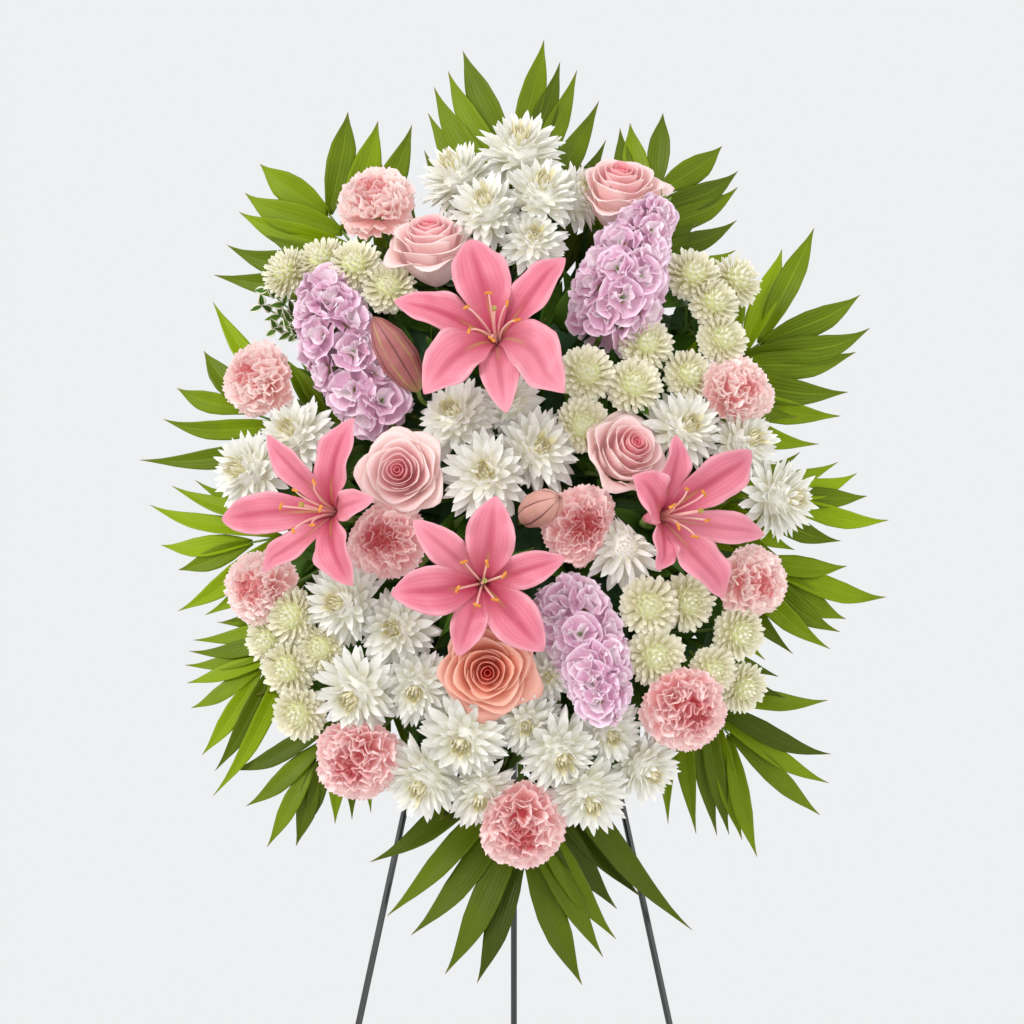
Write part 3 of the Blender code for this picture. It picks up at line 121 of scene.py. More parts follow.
CARNATIONS = [
    ("carnation_top_left", 376, 204, 0, 70, 0, 6, 0),
    ("carnation_left", 260, 380, 2, 68, -6, 0, 20),
    ("carnation_middle", 384, 540, -2, 74, 0, 0, 40),
    ("carnation_left_low", 261, 588, 2, 66, -4, 0, 60),
    ("carnation_bottom_left", 358, 757, 4, 76, 0, -4, 10),
    ("carnation_bottom", 521, 824, 6, 80, 0, -6, 30),
    ("carnation_centre", 583, 527, -2, 72, 4, 2, 50),
    ("carnation_right", 736, 394, 2, 68, 6, 0, 70),
    ("carnation_right_low", 750, 582, 0, 66, 8, 0, 15),
    ("carnation_bottom_right", 684, 707, 8, 76, 0, -4, 35),
]
# Sprays: name, then one row for each head: across, down, ahead, diameter, turn, nod
WHITE_SPRAYS = [
    ("white_mums_top", [
        (520, 154, 2, 82, 0, 8), (540, 196, 12, 78, 6, 2), (487, 212, 10, 78, -8, 0),
        (532, 240, 6, 66, 4, -16), (460, 180, -4, 76, -24, 8), (576, 198, -8, 66, 24, 0)]),
    ("white_mums_left", [(252, 472, 0, 76, -14, 0), (297, 436, -8, 72, 0, 8)]),
    ("white_mums_middle", [
        (457, 418, -6, 80, -8, 6), (487, 474, 2, 84, -4, -2), (536, 450, -4, 80, 12, -2),
        (508, 404, -12, 64, 0, 6)]),
    ("white_mums_right", [(683, 430, -6, 76, 0, 4), (741, 444, -4, 72, 14, 4), (778, 498, 0, 76, 24, -6)]),
    ("white_mum_daisy", [(624, 547, -4, 76, 0, -4)]),
    ("white_mums_low_left", [
        (346, 604, -2, 80, -10, 8), (396, 628, -6, 78, 6, 2), (358, 692, 4, 84, -6, -8),
        (416, 686, -4, 72, 8, -8)]),
    ("white_mums_bottom_left", [
        (463, 738, 4, 84, 0, -2), (425, 778, 0, 78, -10, -10), (480, 790, -4, 72, 4, -14)]),
    ("white_mums_bottom_right", [
        (547, 676, -4, 50, 0, 6), (527, 722, -6, 66, 0, -2), (560, 752, 4, 78, 2, -8),
        (588, 792, 2, 78, 6, -14), (608, 732, -2, 66, 6, -2), (642, 766, -10, 68, 26, -8)]),
]
CREAM_SPRAYS = [
    ("cream_poms_top_left", [
        (288, 273, 0, 52, -26, 10), (322, 262, 0, 50, -10, 16), (355, 266, 6, 52, 6, 10),
        (389, 288, 2, 52, 12, 0)]),
    ("cream_poms_top_right", [
        (692, 276, 2, 54, 0, 10), (735, 281, -2, 52, 20, 6), (713, 303, 4, 50, 10, 0),
        (722, 340, 2, 50, 10, -4)]),
    ("cream_poms_middle", [
        (645, 344, -4, 52, 4, 4), (586, 374, 2, 54, -4, 0), (633, 386, 0, 54, 6, 0),
        (688, 376, -6, 50, 14, 2), (582, 426, 0, 54, -4, -4)]),
    ("cream_poms_low_right", [
        (649, 606, 4, 56, -6, 4), (686, 602, -8, 54, 10, 4), (655, 656, 2, 56, 0, -4),
        (738, 633, -2, 52, 16, -4), (712, 670, 0, 46, 4, -4), (742, 687, -12, 48, 20, -8)]),
    ("cream_poms_low_left", [
        (293, 616, 2, 54, -8, 6), (270, 640, -6, 48, -20, 0), (321, 648, -2, 50, 6, 0),
        (289, 668, 0, 54, -10, -2), (300, 713, 2, 52, -4, -8)]),
]
# Stock: name, then its spike from the tip to the lowest florets: pixels across and down, the radius
# there in mm and how far ahead of the dome it lies in mm
STOCKS = [
    ("stock_left", [(326, 290, 26, 6), (336, 334, 38, 0), (360, 382, 38, -12), (388, 418, 26, -16)]),
    ("stock_right", [(656, 212, 18, 38), (632, 252, 34, 18), (618, 296, 46, 2), (602, 330, 30, -6)]),
    ("stock_low", [(603, 702, 22, 26), (596, 668, 34, 12), (576, 622, 38, -6), (562, 598, 26, -12)]),
]
# Fronds: name, the end of the rib as pixels across and down, the depth of its foot and of its end
# in mm, leaflet width in mm, and the tips of its leaflets
FRONDS = [
    ("frond_12_oclock", (513, 148), 34, 46, 25,
     [(424, 150), (428, 113), (434, 87), (448, 71), (463, 51), (544, 40), (560, 62), (577, 70), (599, 101),
      (606, 140)]),
    ("frond_1_oclock", (662, 182), 42, 40, 23,
     [(600, 165), (620, 128), (630, 123), (663, 113), (722, 146), (738, 171), (738, 187), (737, 220),
      (736, 250)]),
    ("frond_2_oclock", (768, 338), 34, 38, 25,
     [(740, 262), (782, 249), (814, 228), (860, 295), (870, 328), (856, 352), (848, 392), (841, 416),
      (819, 444)]),
    ("frond_3_oclock", (790, 500), 42, 46, 20,
     [(800, 452), (838, 462), (857, 473), (867, 496), (889, 520), (841, 541), (795, 550)]),
    ("frond_4_oclock", (782, 575), 34, 36, 22,
     [(847, 566), (886, 597), (846, 619), (840, 632), (830, 649), (793, 654), (765, 660)]),
    ("frond_5_oclock", (735, 742), 42, 42, 19,
     [(828, 700), (831, 754), (829, 783), (820, 815), (757, 857), (742, 840), (729, 835), (717, 836),
      (696, 834), (668, 824)]),
    ("frond_6_oclock", (525, 862), 34, 40, 26,
     [(692, 930), (641, 897), (617, 909), (616, 939), (603, 957), (582, 985), (477, 983), (445, 974),
      (411, 935), (387, 916), (370, 862)]),
    ("frond_7_oclock", (312, 768), 42, 34, 18,
     [(385, 790), (371, 813), (352, 820), (335, 824), (304, 832), (296, 846), (267, 847), (246, 806),
      (230, 770)]),
    ("frond_8_oclock", (252, 676), 34, 36, 18,
     [(213, 796), (215, 771), (202, 755), (191, 708), (187, 683), (185, 665), (189, 651), (193, 640),
      (217, 622)]),
    ("frond_9_oclock", (238, 545), 42, 32, 20,
     [(205, 615), (178, 611), (178, 570), (161, 545), (150, 505), (172, 486), (195, 480)]),
    ("frond_10_oclock", (228, 405), 34, 36, 21,
     [(140, 460), (163, 419), (177, 388), (204, 351), (213, 302)]),
    ("frond_11_oclock", (322, 205), 42, 42, 27,
     [(214, 275), (227, 245), (239, 212), (245, 193), (260, 164), (348, 112), (378, 121), (412, 125)]),
]
# How light each frond's leaflets are painted, from deep green at 0 to the palest at 1: partly each frond's
# own tone and partly painted shade, deepest on the frond that hangs at the bottom
FROND_TONE_AND_SHADE = {
    "frond_12_oclock": 0.4, "frond_1_oclock": 0.6, "frond_2_oclock": 1.0, "frond_3_oclock": 0.9,
    "frond_4_oclock": 0.75, "frond_5_oclock": 0.4, "frond_6_oclock": 0.15, "frond_7_oclock": 0.5,
    "frond_8_oclock": 0.7, "frond_9_oclock": 0.9, "frond_10_oclock": 1.0, "frond_11_oclock": 0.7,
}
# How far a leaf's tint moves how light it is painted, about its frond's tone and painted shade
LEAFLET_CONTRAST = 0.4
# Filler greens, in rows like a frond's
FILLERS = [
    ("filler_left", (312, 556), 62, 70, 24, [(286, 528), (276, 568), (306, 594), (332, 524)]),
    ("filler_right", (706, 592), 66, 74, 24, [(700, 558), (742, 556), (724, 624), (694, 628)]),
    ("filler_left_high", (292, 312), 62, 66, 20, [(262, 306), (276, 330), (300, 290), (268, 290)]),
]


def spray_axes():
    """The spray's own axes: X across, Y up the leaning legs, Z towards the viewer."""
    across = Vector((1, 0, 0))
    up = Vector((0, math.sin(LEAN), math.cos(LEAN)))
    out = across.cross(up)
    low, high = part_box("foam_block")
    centre = (low + high) / 2 - out * (FOAM_BACK + FOAM_THICKNESS / 2)
    return Matrix.Translation(centre) @ Matrix((across, up, out)).transposed().to_4x4()


SPRAY = spray_axes()
SPRAY_TURN = np.array(SPRAY.to_3x3())
SPRAY_PLACE = np.array(SPRAY.translation)


def spot(across, down, depth):
    """The point of the spray, in its own axes, that stands at this pixel of the photograph."""
    lean_sin, lean_cos = math.sin(LEAN), math.cos(LEAN)
    closeness, height = 1.0, 0.0
    for _ in range(4):
        seen = CAMERA_ABOVE_FOAM + (PHOTO_MIDDLE[1] - down) * PIXEL * closeness
        height = (seen - depth * lean_sin) / lean_cos
        closeness = 1 + (height * lean_sin - depth * lean_cos) / CAMERA_DISTANCE
    return Vector(((across - PHOTO_MIDDLE[0]) * PIXEL * closeness, height, depth))


def dome_depth(across, down):
    """How far the dome of flowers stands out from the legs' plane at a pixel."""
    flat = spot(across, down, DOME_RIM_DEPTH)
    inside = 1 - (flat.x / DOME_HALF_WIDTH) ** 2 - (flat.y / DOME_HALF_HEIGHT) ** 2
    return DOME_RIM_DEPTH + DOME_RISE * math.sqrt(max(0.0, inside))


def facing(place, turn, nod):
    """The way a head looks: outwards from behind the foam, then turned and nodded."""
    sideways = math.atan2(place.x, FACE_SPREAD[0]) + math.radians(turn)
    upwards = math.atan2(place.y, FACE_SPREAD[1]) + math.radians(nod)
    flat = math.cos(upwards)
    return Vector((math.sin(sideways) * flat, math.sin(upwards), math.cos(sideways) * flat))


class Head:
    """One flower head: its centre, the way it faces and its radius."""

    def __init__(self, across, down, ahead, diameter, turn, nod, spin=0.0):
        self.radius = diameter / 2 * MM
        self.centre = spot(across, down, dome_depth(across, down) + ahead * MM)
        self.look = facing(self.centre, turn, nod)
        upright = AHEAD.rotation_difference(self.look)
        self.turned = upright @ Quaternion((0, 0, 1), math.radians(spin))
        self.axes = np.array(self.turned.to_matrix())

    def point(self, x, y, z):
        return self.centre + self.turned @ Vector((x, y, z))

    def placed(self, grids):
        """Grids in the head's own axes, with Z the way it faces, carried to their place."""
        return np.asarray(grids) @ self.axes.T + np.array(self.centre)


def every_round_head():
    heads = [Head(*row[1:]) for row in ROSES + CARNATIONS]
    for _, rows in WHITE_SPRAYS + CREAM_SPRAYS:
        heads += [Head(*row) for row in rows]
    return heads


def stem_spots():
    """Spheres round the feet of the lilies and their buds, which the other heads make room for."""
    spots = []
    for row in LILIES:
        head = Head(*row[1:8])
        spots += [(head.point(0, 0, -18 * MM), 11 * MM), (head.point(0, 0, -36 * MM), 7 * MM)]
        spots.append((head.point(0, 0, -36 * MM) - Vector((0, 0, 16 * MM)), 6 * MM))
    for row in LILY_BUDS:
        head = Head(*row[1:])
        spots += [(head.point(0, 0, -height * head.radius), 0.9 * head.radius) for height in (0, 1.2)]
        spots.append((head.point(0, 0, -2.4 * head.radius), 6 * MM))
    return spots


CROWD = every_round_head()
OBSTACLES = stem_spots()


def pressed(points, centre, way, wall, radius):
    """Points drawn back behind a wall. Points well short of the wall stay where they are."""
    knee = KNEE * wall
    if wall >= radius:
        return points
    over = np.clip((points - np.array(centre)) @ np.array(way) - knee, 0, None)
    return points - over[..., None] * np.array(way) * (1 - (wall - knee) / (radius - knee))


def crowded(head, points):
    """A head's points, pressed back towards its centre where a neighbour stands in their way."""
    for other in CROWD:
        between = other.centre - head.centre
        distance = between.length
        if 1e-6 < distance < head.radius + other.radius:
            wall = (distance**2 + head.radius**2 - other.radius**2) / (2 * distance) + HEADS_MINGLE
            points = pressed(points, head.centre, between / distance, wall, head.radius)
    for place, radius in OBSTACLES:
        between = place - head.centre
        wall = max(between.length - radius, 0.4 * head.radius)
        points = pressed(points, head.centre, between.normalized(), wall, head.radius)
    return points


MARKS = ("along", "across", "tint", "layer")
BUMP_DEPTH = 0.4 * MM
SHARP = math.radians(70)


class Value:
    """What a shader socket carries. Python's arithmetic on it adds Math nodes."""

    def __init__(self, finish, socket):
        self.finish = finish
        self.socket = socket

    def math(self, operation, *others):
        return self.finish.node("ShaderNodeMath", {"operation": operation}, dict(enumerate(others)))

    def __add__(self, other):
        return self.math("ADD", self, other)

    def __mul__(self, other):
        return self.math("MULTIPLY", self, other)

    def __sub__(self, other):
        return self.math("SUBTRACT", self, other)

    def __rsub__(self, other):
        return self.math("SUBTRACT", other, self)

    def __pow__(self, other):
        return self.math("POWER", self, other)

    def __abs__(self):
        return self.math("ABSOLUTE", self)

    def sine(self):
        return self.math("SINE", self)


class Finish:
    """A material with a Principled shader, whose other nodes all come from one method."""

    def __init__(self, name, roughness=0.5, specular=0.5, coat=0.0, glow=0.0):
        self.material = bpy.data.materials.new(name)
        self.material.use_nodes = True
        self.tree = self.material.node_tree
        self.shader = self.tree.nodes["Principled BSDF"]
        self.colour = None
        fixed = {"Roughness": roughness, "Specular IOR Level": specular, "Coat Weight": coat,
                 "Emission Strength": glow}
        for socket, value in fixed.items():
            self.shader.inputs[socket].default_value = value

    def node(self, kind, settings=None, inputs=None, output=0):
        made = self.tree.nodes.new(kind)
        for key, value in (settings or {}).items():
            setattr(made, key, value)
        for key, value in (inputs or {}).items():
            socket = made.inputs[key]
            if isinstance(value, Value):
                self.tree.links.new(value.socket, socket)
            elif isinstance(value, tuple) and len(value) == 3 and socket.type == "RGBA":
                socket.default_value = (*value, 1)
            else:
                socket.default_value = value
        return Value(self, made.outputs[output])

    def mark(self, name):
        return self.node("ShaderNodeAttribute", {"attribute_name": name}, output="Fac")

    def mix(self, first, second, factor):
        return self.node("ShaderNodeMix", {"data_type": "RGBA"}, {0: factor, 6: first, 7: second}, 2)

    def between(self, first, second, factor):
        """The colour that the others are laid over."""
        self.colour = self.mix(first, second, factor)

    def over(self, colour, share):
        """Lays a colour over the one that is there."""
        self.colour = self.mix(self.colour, colour, share)

    def under(self, colour, share):
        """Lets a colour show wherever the share is under 1."""
        self.colour = self.mix(colour, self.colour, share)

    def step(self, value, start, end):
        """0 below the start, 1 past the end, and smooth between."""
        inputs = {"Value": value, "From Min": start, "From Max": end}
        return self.node("ShaderNodeMapRange", {"interpolation_type": "SMOOTHSTEP"}, inputs)

    def noise(self, scale, detail=3.0):
        place = self.node("ShaderNodeTexCoord", output="Object")
        return self.node("ShaderNodeTexNoise", {}, {"Vector": place, "Scale": scale, "Detail": detail})

    def set(self, socket, value):
        self.tree.links.new(value.socket, self.shader.inputs[socket])

    def done(self, height, strength, glows=False):
        """Joins the colour and the bumps to the shader, and gives the material."""
        self.set("Base Color", self.colour)
        if glows:
            self.set("Emission Color", self.colour)
        inputs = {"Height": height, "Strength": strength, "Distance": BUMP_DEPTH}
        self.set("Normal", self.node("ShaderNodeBump", {}, inputs))
        return self.material


def petal_finish(name, root, blade, rim, heart, veins=26, streak=0.12, roughness=0.55, heart_reach=0.5,
                 glow=0.1, root_reach=0.6, outermost=None, dusk=None):
    """Petals: a colour at the root, the blade and the rim, another deep in the flower's heart, and a
    faint glow for the light that thin petals let through. A rose's outermost petals may be paler."""
    finish = Finish(name, roughness=roughness, specular=0.3, glow=glow)
    along, across, tint, layer = map(finish.mark, MARKS)
    finish.between(root, blade, finish.step(along, 0.05, root_reach))
    edge = finish.step(along + abs(across) ** 2 * 0.25, 0.72, 1.1)
    finish.over(rim, edge * 0.8)
    finish.under(heart, finish.step(layer + along * 0.12, 0.0, heart_reach))
    if outermost:
        finish.over(outermost, finish.step(layer, 0.5, 1.0) * 0.75)
    vein = (across * veins).sine() * 0.5 + 0.5
    finish.over(root, vein * streak * (1 - edge))
    shade = finish.noise(60) * 0.6 + tint * 0.4
    finish.over(dusk or tuple(c * 0.8 for c in blade), finish.step(shade, 0.5, 0.9) * 0.4)
    return finish.done(vein * 0.6 + finish.noise(900) * 0.4, 0.35, glows=True)


def lily_finish():
    """A lily's petals: a deep rib, pale margins, faint veins and freckles, and a yellow groove."""
    finish = Finish("lily_petal", roughness=0.42, specular=0.3, glow=0.06)
    along, across, tint, layer = map(finish.mark, MARKS)
    pink, deep, pale = (0.7, 0.19, 0.26), (0.46, 0.045, 0.095), (0.86, 0.42, 0.48)
    yellow_green, outside = (0.42, 0.3, 0.05), (0.62, 0.2, 0.24)
    finish.between(deep, pink, finish.step(along + abs(across) * 0.3, 0.1, 0.55))
    rib = (1 - finish.step(abs(across), 0.02, 0.3)) * (1 - finish.step(along, 0.5, 1.0))
    finish.over(deep, rib * 0.75)
    finish.over(deep, finish.step(finish.noise(16), 0.45, 0.75) * 0.35)
    finish.over(pale, finish.step(abs(across), 0.62, 1.0) * finish.step(along, 0.1, 0.4) * 0.75)
    finish.over(pale, finish.step(along, 0.7, 1.0) * 0.45)
    groove = (1 - finish.step(abs(across), 0.04, 0.16)) * (1 - finish.step(along, 0.1, 0.34))
    finish.over(yellow_green, groove * 0.75)
    finish.over(deep, finish.step(finish.noise(420, 1) * (1 - along), 0.42, 0.5) * 0.15)
    vein = (across * 34).sine() * 0.5 + 0.5
    finish.over(deep, vein * 0.16)
    finish.over(outside, finish.step(layer, 0.5, 1) * 0.5)
    finish.over(pale, finish.step(tint, 0.3, 1.0) * 0.22)
    return finish.done(vein * 0.5 - rib * 0.5 + finish.noise(700) * 0.5, 0.4, glows=True)


def bud_finish():
    """A closed lily bud: dusty rose, with dark seams and yellow-green streaks along its ridges."""
    finish = Finish("lily_bud", roughness=0.42, specular=0.4)
    along, across = finish.mark("along"), finish.mark("across")
    rose_red, paler, young = (0.36, 0.105, 0.1), (0.56, 0.27, 0.24), (0.74, 0.4, 0.33)
    green, seam_red, tip_brown = (0.42, 0.38, 0.1), (0.1, 0.025, 0.03), (0.16, 0.05, 0.04)
    finish.between(rose_red, paler, finish.step(finish.noise(35), 0.35, 0.75) * 0.6)
    finish.over(young, finish.mark("tint") * 0.8)
    streak = finish.step(across, -0.2, 0.0) * (1 - finish.step(across, 0.1, 0.3))
    finish.over(green, streak * finish.step(finish.noise(22), 0.3, 0.6) * 0.7)
    finish.over(green, (1 - finish.step(along, 0.0, 0.22)) * 0.5)
    seam = finish.step(abs(across), 0.93, 0.99)
    finish.over(seam_red, seam * 0.8)
    finish.over(tip_brown, finish.step(along, 0.93, 1.0) * 0.6)
    return finish.done((across * 30).sine() * 0.3 - seam + finish.noise(600) * 0.3, 0.4)


def leaf_finish(name, light, dark, veins, roughness=0.38, margin=None, deep=None):
    """Leaves: parallel veins, paler midrib, mottling, a dry tip and on some a cream margin. Where a deep
    colour is given, the layer mark says how light a leaf is beside it, partly its own tone and partly painted
    shade."""
    finish = Finish(name, roughness=roughness, specular=0.16)
    along, across, tint = map(finish.mark, MARKS[:3])
    finish.between(dark, light, finish.step(finish.noise(14) * 0.7 + tint * 0.5, 0.35, 0.8))
    vein = (across * veins).sine() * 0.5 + 0.5
    finish.over(light, vein * 0.22)
    rib = 1 - finish.step(abs(across), 0.02, 0.1)
    finish.over(tuple(min(1, c * 1.2 + 0.02) for c in light), rib * 0.35)
    finish.over(dark, (1 - finish.step(along, 0.0, 0.25)) * 0.4)
    if deep:
        # Painted shade and the leaf's own tone: the layer mark draws darker fronds towards the deep colour
        finish.under(deep, finish.mark("layer"))
    if margin:
        finish.over(margin, finish.step(abs(across) + finish.noise(120) * 0.5, 0.78, 0.95))
    finish.over((0.28, 0.2, 0.06), finish.step(along + finish.noise(30) * 0.08, 0.96, 1.03) * 0.6)
    finish.set("Roughness", finish.noise(40) * 0.25 + (roughness - 0.1))
    return finish.done(vein * 0.7 - rib * 0.9 + finish.noise(500) * 0.3, 0.5)


def plain_finish(name, first, second, scale, roughness, bump_scale, strength, coat=0.0):
    """A finish that wanders between two colours, with fine bumps."""
    finish = Finish(name, coat=coat)
    finish.between(first, second, finish.step(finish.noise(scale), 0.3, 0.7))
    finish.set("Roughness", finish.noise(scale * 3) * 0.16 + (roughness - 0.08))
    return finish.done(finish.noise(bump_scale, 4), strength)


FINISHES = {
    "lily": lily_finish(),
    "lily_bud": bud_finish(),
    "blush": petal_finish(
        "rose_blush_petal", (0.74, 0.33, 0.34), (0.85, 0.52, 0.52), (0.93, 0.76, 0.73), (0.72, 0.15, 0.19),
        veins=30, streak=0.05, heart_reach=0.85, glow=0.1, outermost=(0.88, 0.68, 0.64)),
    "peach": petal_finish(
        "rose_peach_petal", (0.86, 0.26, 0.13), (0.88, 0.38, 0.25), (0.94, 0.6, 0.47), (0.6, 0.03, 0.02),
        veins=30, streak=0.05, heart_reach=0.9, glow=0.06, outermost=(0.86, 0.46, 0.38)),
    "carnation": petal_finish(
        "carnation_petal", (0.86, 0.42, 0.4), (0.92, 0.67, 0.64), (0.97, 0.87, 0.84), (0.8, 0.27, 0.28),
        veins=40, streak=0.2, roughness=0.62, heart_reach=0.45, glow=0.11, root_reach=0.8),
    "deep_carnation": petal_finish(
        "deep_carnation_petal", (0.8, 0.3, 0.3), (0.9, 0.58, 0.57), (0.96, 0.84, 0.82), (0.68, 0.13, 0.15),
        veins=40, streak=0.2, roughness=0.62, heart_reach=0.5, glow=0.12, root_reach=0.85),
    "white": petal_finish(
        "white_mum_petal", (0.76, 0.72, 0.52), (0.88, 0.87, 0.82), (0.94, 0.93, 0.91), (0.76, 0.68, 0.34),
        veins=7, streak=0.08, heart_reach=0.2, glow=0.05),
    "cream": petal_finish(
        "cream_pom_petal", (0.6, 0.55, 0.32), (0.88, 0.85, 0.7), (0.94, 0.92, 0.83), (0.46, 0.54, 0.1),
        veins=6, streak=0.1, heart_reach=0.2, glow=0.08, root_reach=0.75),
    "stock": petal_finish(
        "stock_petal", (0.3, 0.27, 0.08), (0.77, 0.47, 0.63), (0.95, 0.84, 0.91), (0.93, 0.84, 0.87),
        veins=16, streak=0.08, roughness=0.58, heart_reach=0.25, glow=0.07, root_reach=0.26,
        dusk=(0.5, 0.22, 0.36)),
    # The palm's deep colour is partly painted shade, for the fronds that hang in shadow
    "palm": leaf_finish(
        "palm_leaf", (0.27, 0.39, 0.002), (0.115, 0.175, 0.001), 22, deep=(0.045, 0.068, 0.001)),
    "edged_leaf": leaf_finish(
        "edged_leaf", (0.1, 0.2, 0.02), (0.04, 0.1, 0.01), 10, roughness=0.45, margin=(0.85, 0.84, 0.66)),
    # Near-black green: partly the leaves' own colour and partly painted shade in the gaps between the heads
    "dark_leaf": leaf_finish("dark_leaf", (0.06, 0.15, 0.01), (0.016, 0.05, 0.005), 14, roughness=0.45),
    "stem": plain_finish("green_stem", (0.12, 0.22, 0.03), (0.18, 0.28, 0.05), 40, 0.5, 600, 0.3),
    "filament": plain_finish("filament", (0.86, 0.44, 0.42), (0.88, 0.6, 0.48), 50, 0.45, 800, 0.1),
    "green_stigma": plain_finish("stigma", (0.5, 0.3, 0.06), (0.3, 0.28, 0.06), 200, 0.5, 900, 0.6),
    "anther": plain_finish("anther", (0.8, 0.33, 0.04), (0.62, 0.2, 0.03), 300, 0.8, 1800, 0.8),
    "enamel": plain_finish(
        "black_enamel_coat", (0.008, 0.01, 0.01), (0.02, 0.024, 0.023), 25, 0.28, 700, 0.08, coat=0.4),
    "tray": plain_finish("tray_moulding", (0.02, 0.07, 0.03), (0.03, 0.09, 0.04), 18, 0.5, 500, 0.25),
    "foam": plain_finish("foam_pores", (0.03, 0.09, 0.03), (0.05, 0.13, 0.05), 90, 0.95, 1500, 1.0),
}


class Sheets:
    """Grids of points that become one piece, with what the finishes read from each point."""

    def __init__(self):
        self.points, self.faces, self.looks, self.finishes = [], [], [], []
        self.marks = {key: [] for key in MARKS}
        self.count = 0

    def add(self, grids, finish, tint=0.5, layer=1.0, across=None, closed=False):
        """Adds grids: an array of grid, row, column and x, y, z. Tint and layer are numbers, or one for
        each grid. A closed grid's last column meets its first."""
        grids = np.asarray(grids, float)
        if grids.ndim == 3:
            grids = grids[None]
        count, rows, columns, _ = grids.shape
        index = np.arange(count * rows * columns).reshape(count, rows, columns) + self.count
        if closed:
            index = np.concatenate([index, index[:, :, :1]], axis=2)
        corners = [index[:, :-1, :-1], index[:, :-1, 1:], index[:, 1:, 1:], index[:, 1:, :-1]]
        faces = np.stack(corners, -1).reshape(-1, 4)
        if finish not in self.finishes:
            self.finishes.append(finish)
        self.points.append(grids.reshape(-1, 3))
        self.faces.append(faces)
        self.looks.append(np.full(len(faces), self.finishes.index(finish)))
        along = np.linspace(0, 1, rows)[:, None]
        sides = np.linspace(-1, 1, columns) if across is None else np.asarray(across, float)
        tint, layer = (np.asarray(mark, float).reshape(-1, 1, 1) for mark in (tint, layer))
        for key, values in zip(MARKS, (along, sides, tint, layer)):
            self.marks[key].append(np.broadcast_to(values, index.shape[:2] + (columns,)).reshape(-1))
        self.count += count * rows * columns

    def piece(self, name, nodes, slot, thickness=0.0):
        """Makes the piece in the scene's axes. It rides on the body that holds the flowers."""
        points = np.concatenate(self.points) @ SPRAY_TURN.T + SPRAY_PLACE
        faces = np.concatenate(self.faces)
        mesh = bpy.data.meshes.new(name)
        mesh.vertices.add(len(points))
        mesh.vertices.foreach_set("co", points.astype(np.float32).ravel())
        mesh.loops.add(faces.size)
        mesh.loops.foreach_set("vertex_index", faces.astype(np.int32).ravel())
        mesh.polygons.add(len(faces))
        mesh.polygons.foreach_set("loop_start", np.arange(0, faces.size, 4, dtype=np.int32))
        mesh.polygons.foreach_set("material_index", np.concatenate(self.looks).astype(np.int32))
        for key, values in self.marks.items():
            data = mesh.attributes.new(key, "FLOAT", "POINT").data
            data.foreach_set("value", np.concatenate(values).astype(np.float32))
        mesh.update(calc_edges=True)
        mesh.shade_smooth()
        mesh.set_sharp_from_angle(angle=SHARP)
        for finish in self.finishes:
            mesh.materials.append(FINISHES[finish])
        obj = bpy.data.objects.new(name, mesh)
        bpy.context.scene.collection.objects.link(obj)
        if thickness:
            solid = obj.modifiers.new("thickness", "SOLIDIFY")
            solid.thickness = thickness
            solid.offset = 0
        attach(obj, "spray")
        if nodes:
            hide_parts(*nodes)


# A petal's outline from its root to its tip, as (share of its length, share of its half width)
SPOON = [(0, 0.4), (0.3, 0.62), (0.6, 0.92), (0.8, 1.0), (0.92, 0.74), (0.98, 0.34), (1, 0.06)]
STRAP = [(0, 0.3), (0.25, 0.6), (0.5, 0.96), (0.68, 1.0), (0.84, 0.72), (0.95, 0.28), (1, 0.04)]
FAN = [(0, 0.12), (0.3, 0.2), (0.55, 0.62), (0.8, 0.95), (1, 1.0)]
ROUND = [(0, 0.14), (0.3, 0.36), (0.6, 0.86), (0.82, 1.0), (1, 0.72)]
LANCE = [(0, 0.24), (0.12, 0.5), (0.3, 0.86), (0.48, 1.0), (0.66, 0.86), (0.8, 0.5), (0.9, 0.2),
         (0.96, 0.08), (1, 0.01)]
OVATE = [(0, 0.12), (0.12, 0.6), (0.32, 1.0), (0.55, 0.92), (0.8, 0.5), (0.94, 0.16), (1, 0.02)]
# A thin closed cross section, cupped, as (across, up) in half widths
CUPPED = [(-1, 0.34), (-0.45, 0.0), (0.45, 0.0), (1, 0.34), (0.45, 0.14), (-0.45, 0.14)]
CUPPED_ACROSS = [u for u, _ in CUPPED]


def outline(marks, shares):
    return np.interp(shares, [a for a, _ in marks], [b for _, b in marks])


def around(count, shift=0.0):
    """Evenly spread turns, all of them shifted by a share of one step."""
    return 2 * np.pi * (np.arange(count) + shift) / count


def ringed(turn, across, radius, height):
    """Points at a radius and height round a head's axis, moved sideways."""
    cos, sin = np.cos(turn), np.sin(turn)
    return np.stack([radius * cos - across * sin, radius * sin + across * cos, height], -1)


def blades(turn, base, tip, width, bend, rows, marks):
    """Cupped petals round a head's axis. Base and tip are (radius, height) pairs. They, the widths and
    the bends are one number for all petals, or one each. A petal arches over the straight line from its
    base to its tip by bend times its length."""
    shares = 1 - (1 - np.linspace(0, 1, rows)) ** 1.5
    start_r, start_z, end_r, end_z, width, bend = (
        np.broadcast_to(np.asarray(value, float), turn.shape)[:, None] for value in (*base, *tip, width, bend)
    )
    along_r, along_z = end_r - start_r, end_z - start_z
    length = np.sqrt(along_r**2 + along_z**2)
    arch = bend * np.sin(np.pi * shares[None]) * length
    normal_r, normal_z = -along_z / length, along_r / length
    radius = start_r + along_r * shares + normal_r * arch
    height = start_z + along_z * shares + normal_z * arch
    half = width / 2 * outline(marks, shares)[None]
    across, up = (half[..., None] * np.array(values) for values in zip(*CUPPED))
    radius = radius[..., None] + up * normal_r[..., None]
    height = height[..., None] + up * normal_z[..., None]
    return ringed(turn[:, None, None], across, radius, height)


def add_petals(sheets, head, grids, finish, tint, layer):
    """Adds cupped petals made in a head's own axes, pressed back where a neighbour stands."""
    sheets.add(crowded(head, head.placed(grids)), finish, tint, layer, CUPPED_ACROSS, closed=True)


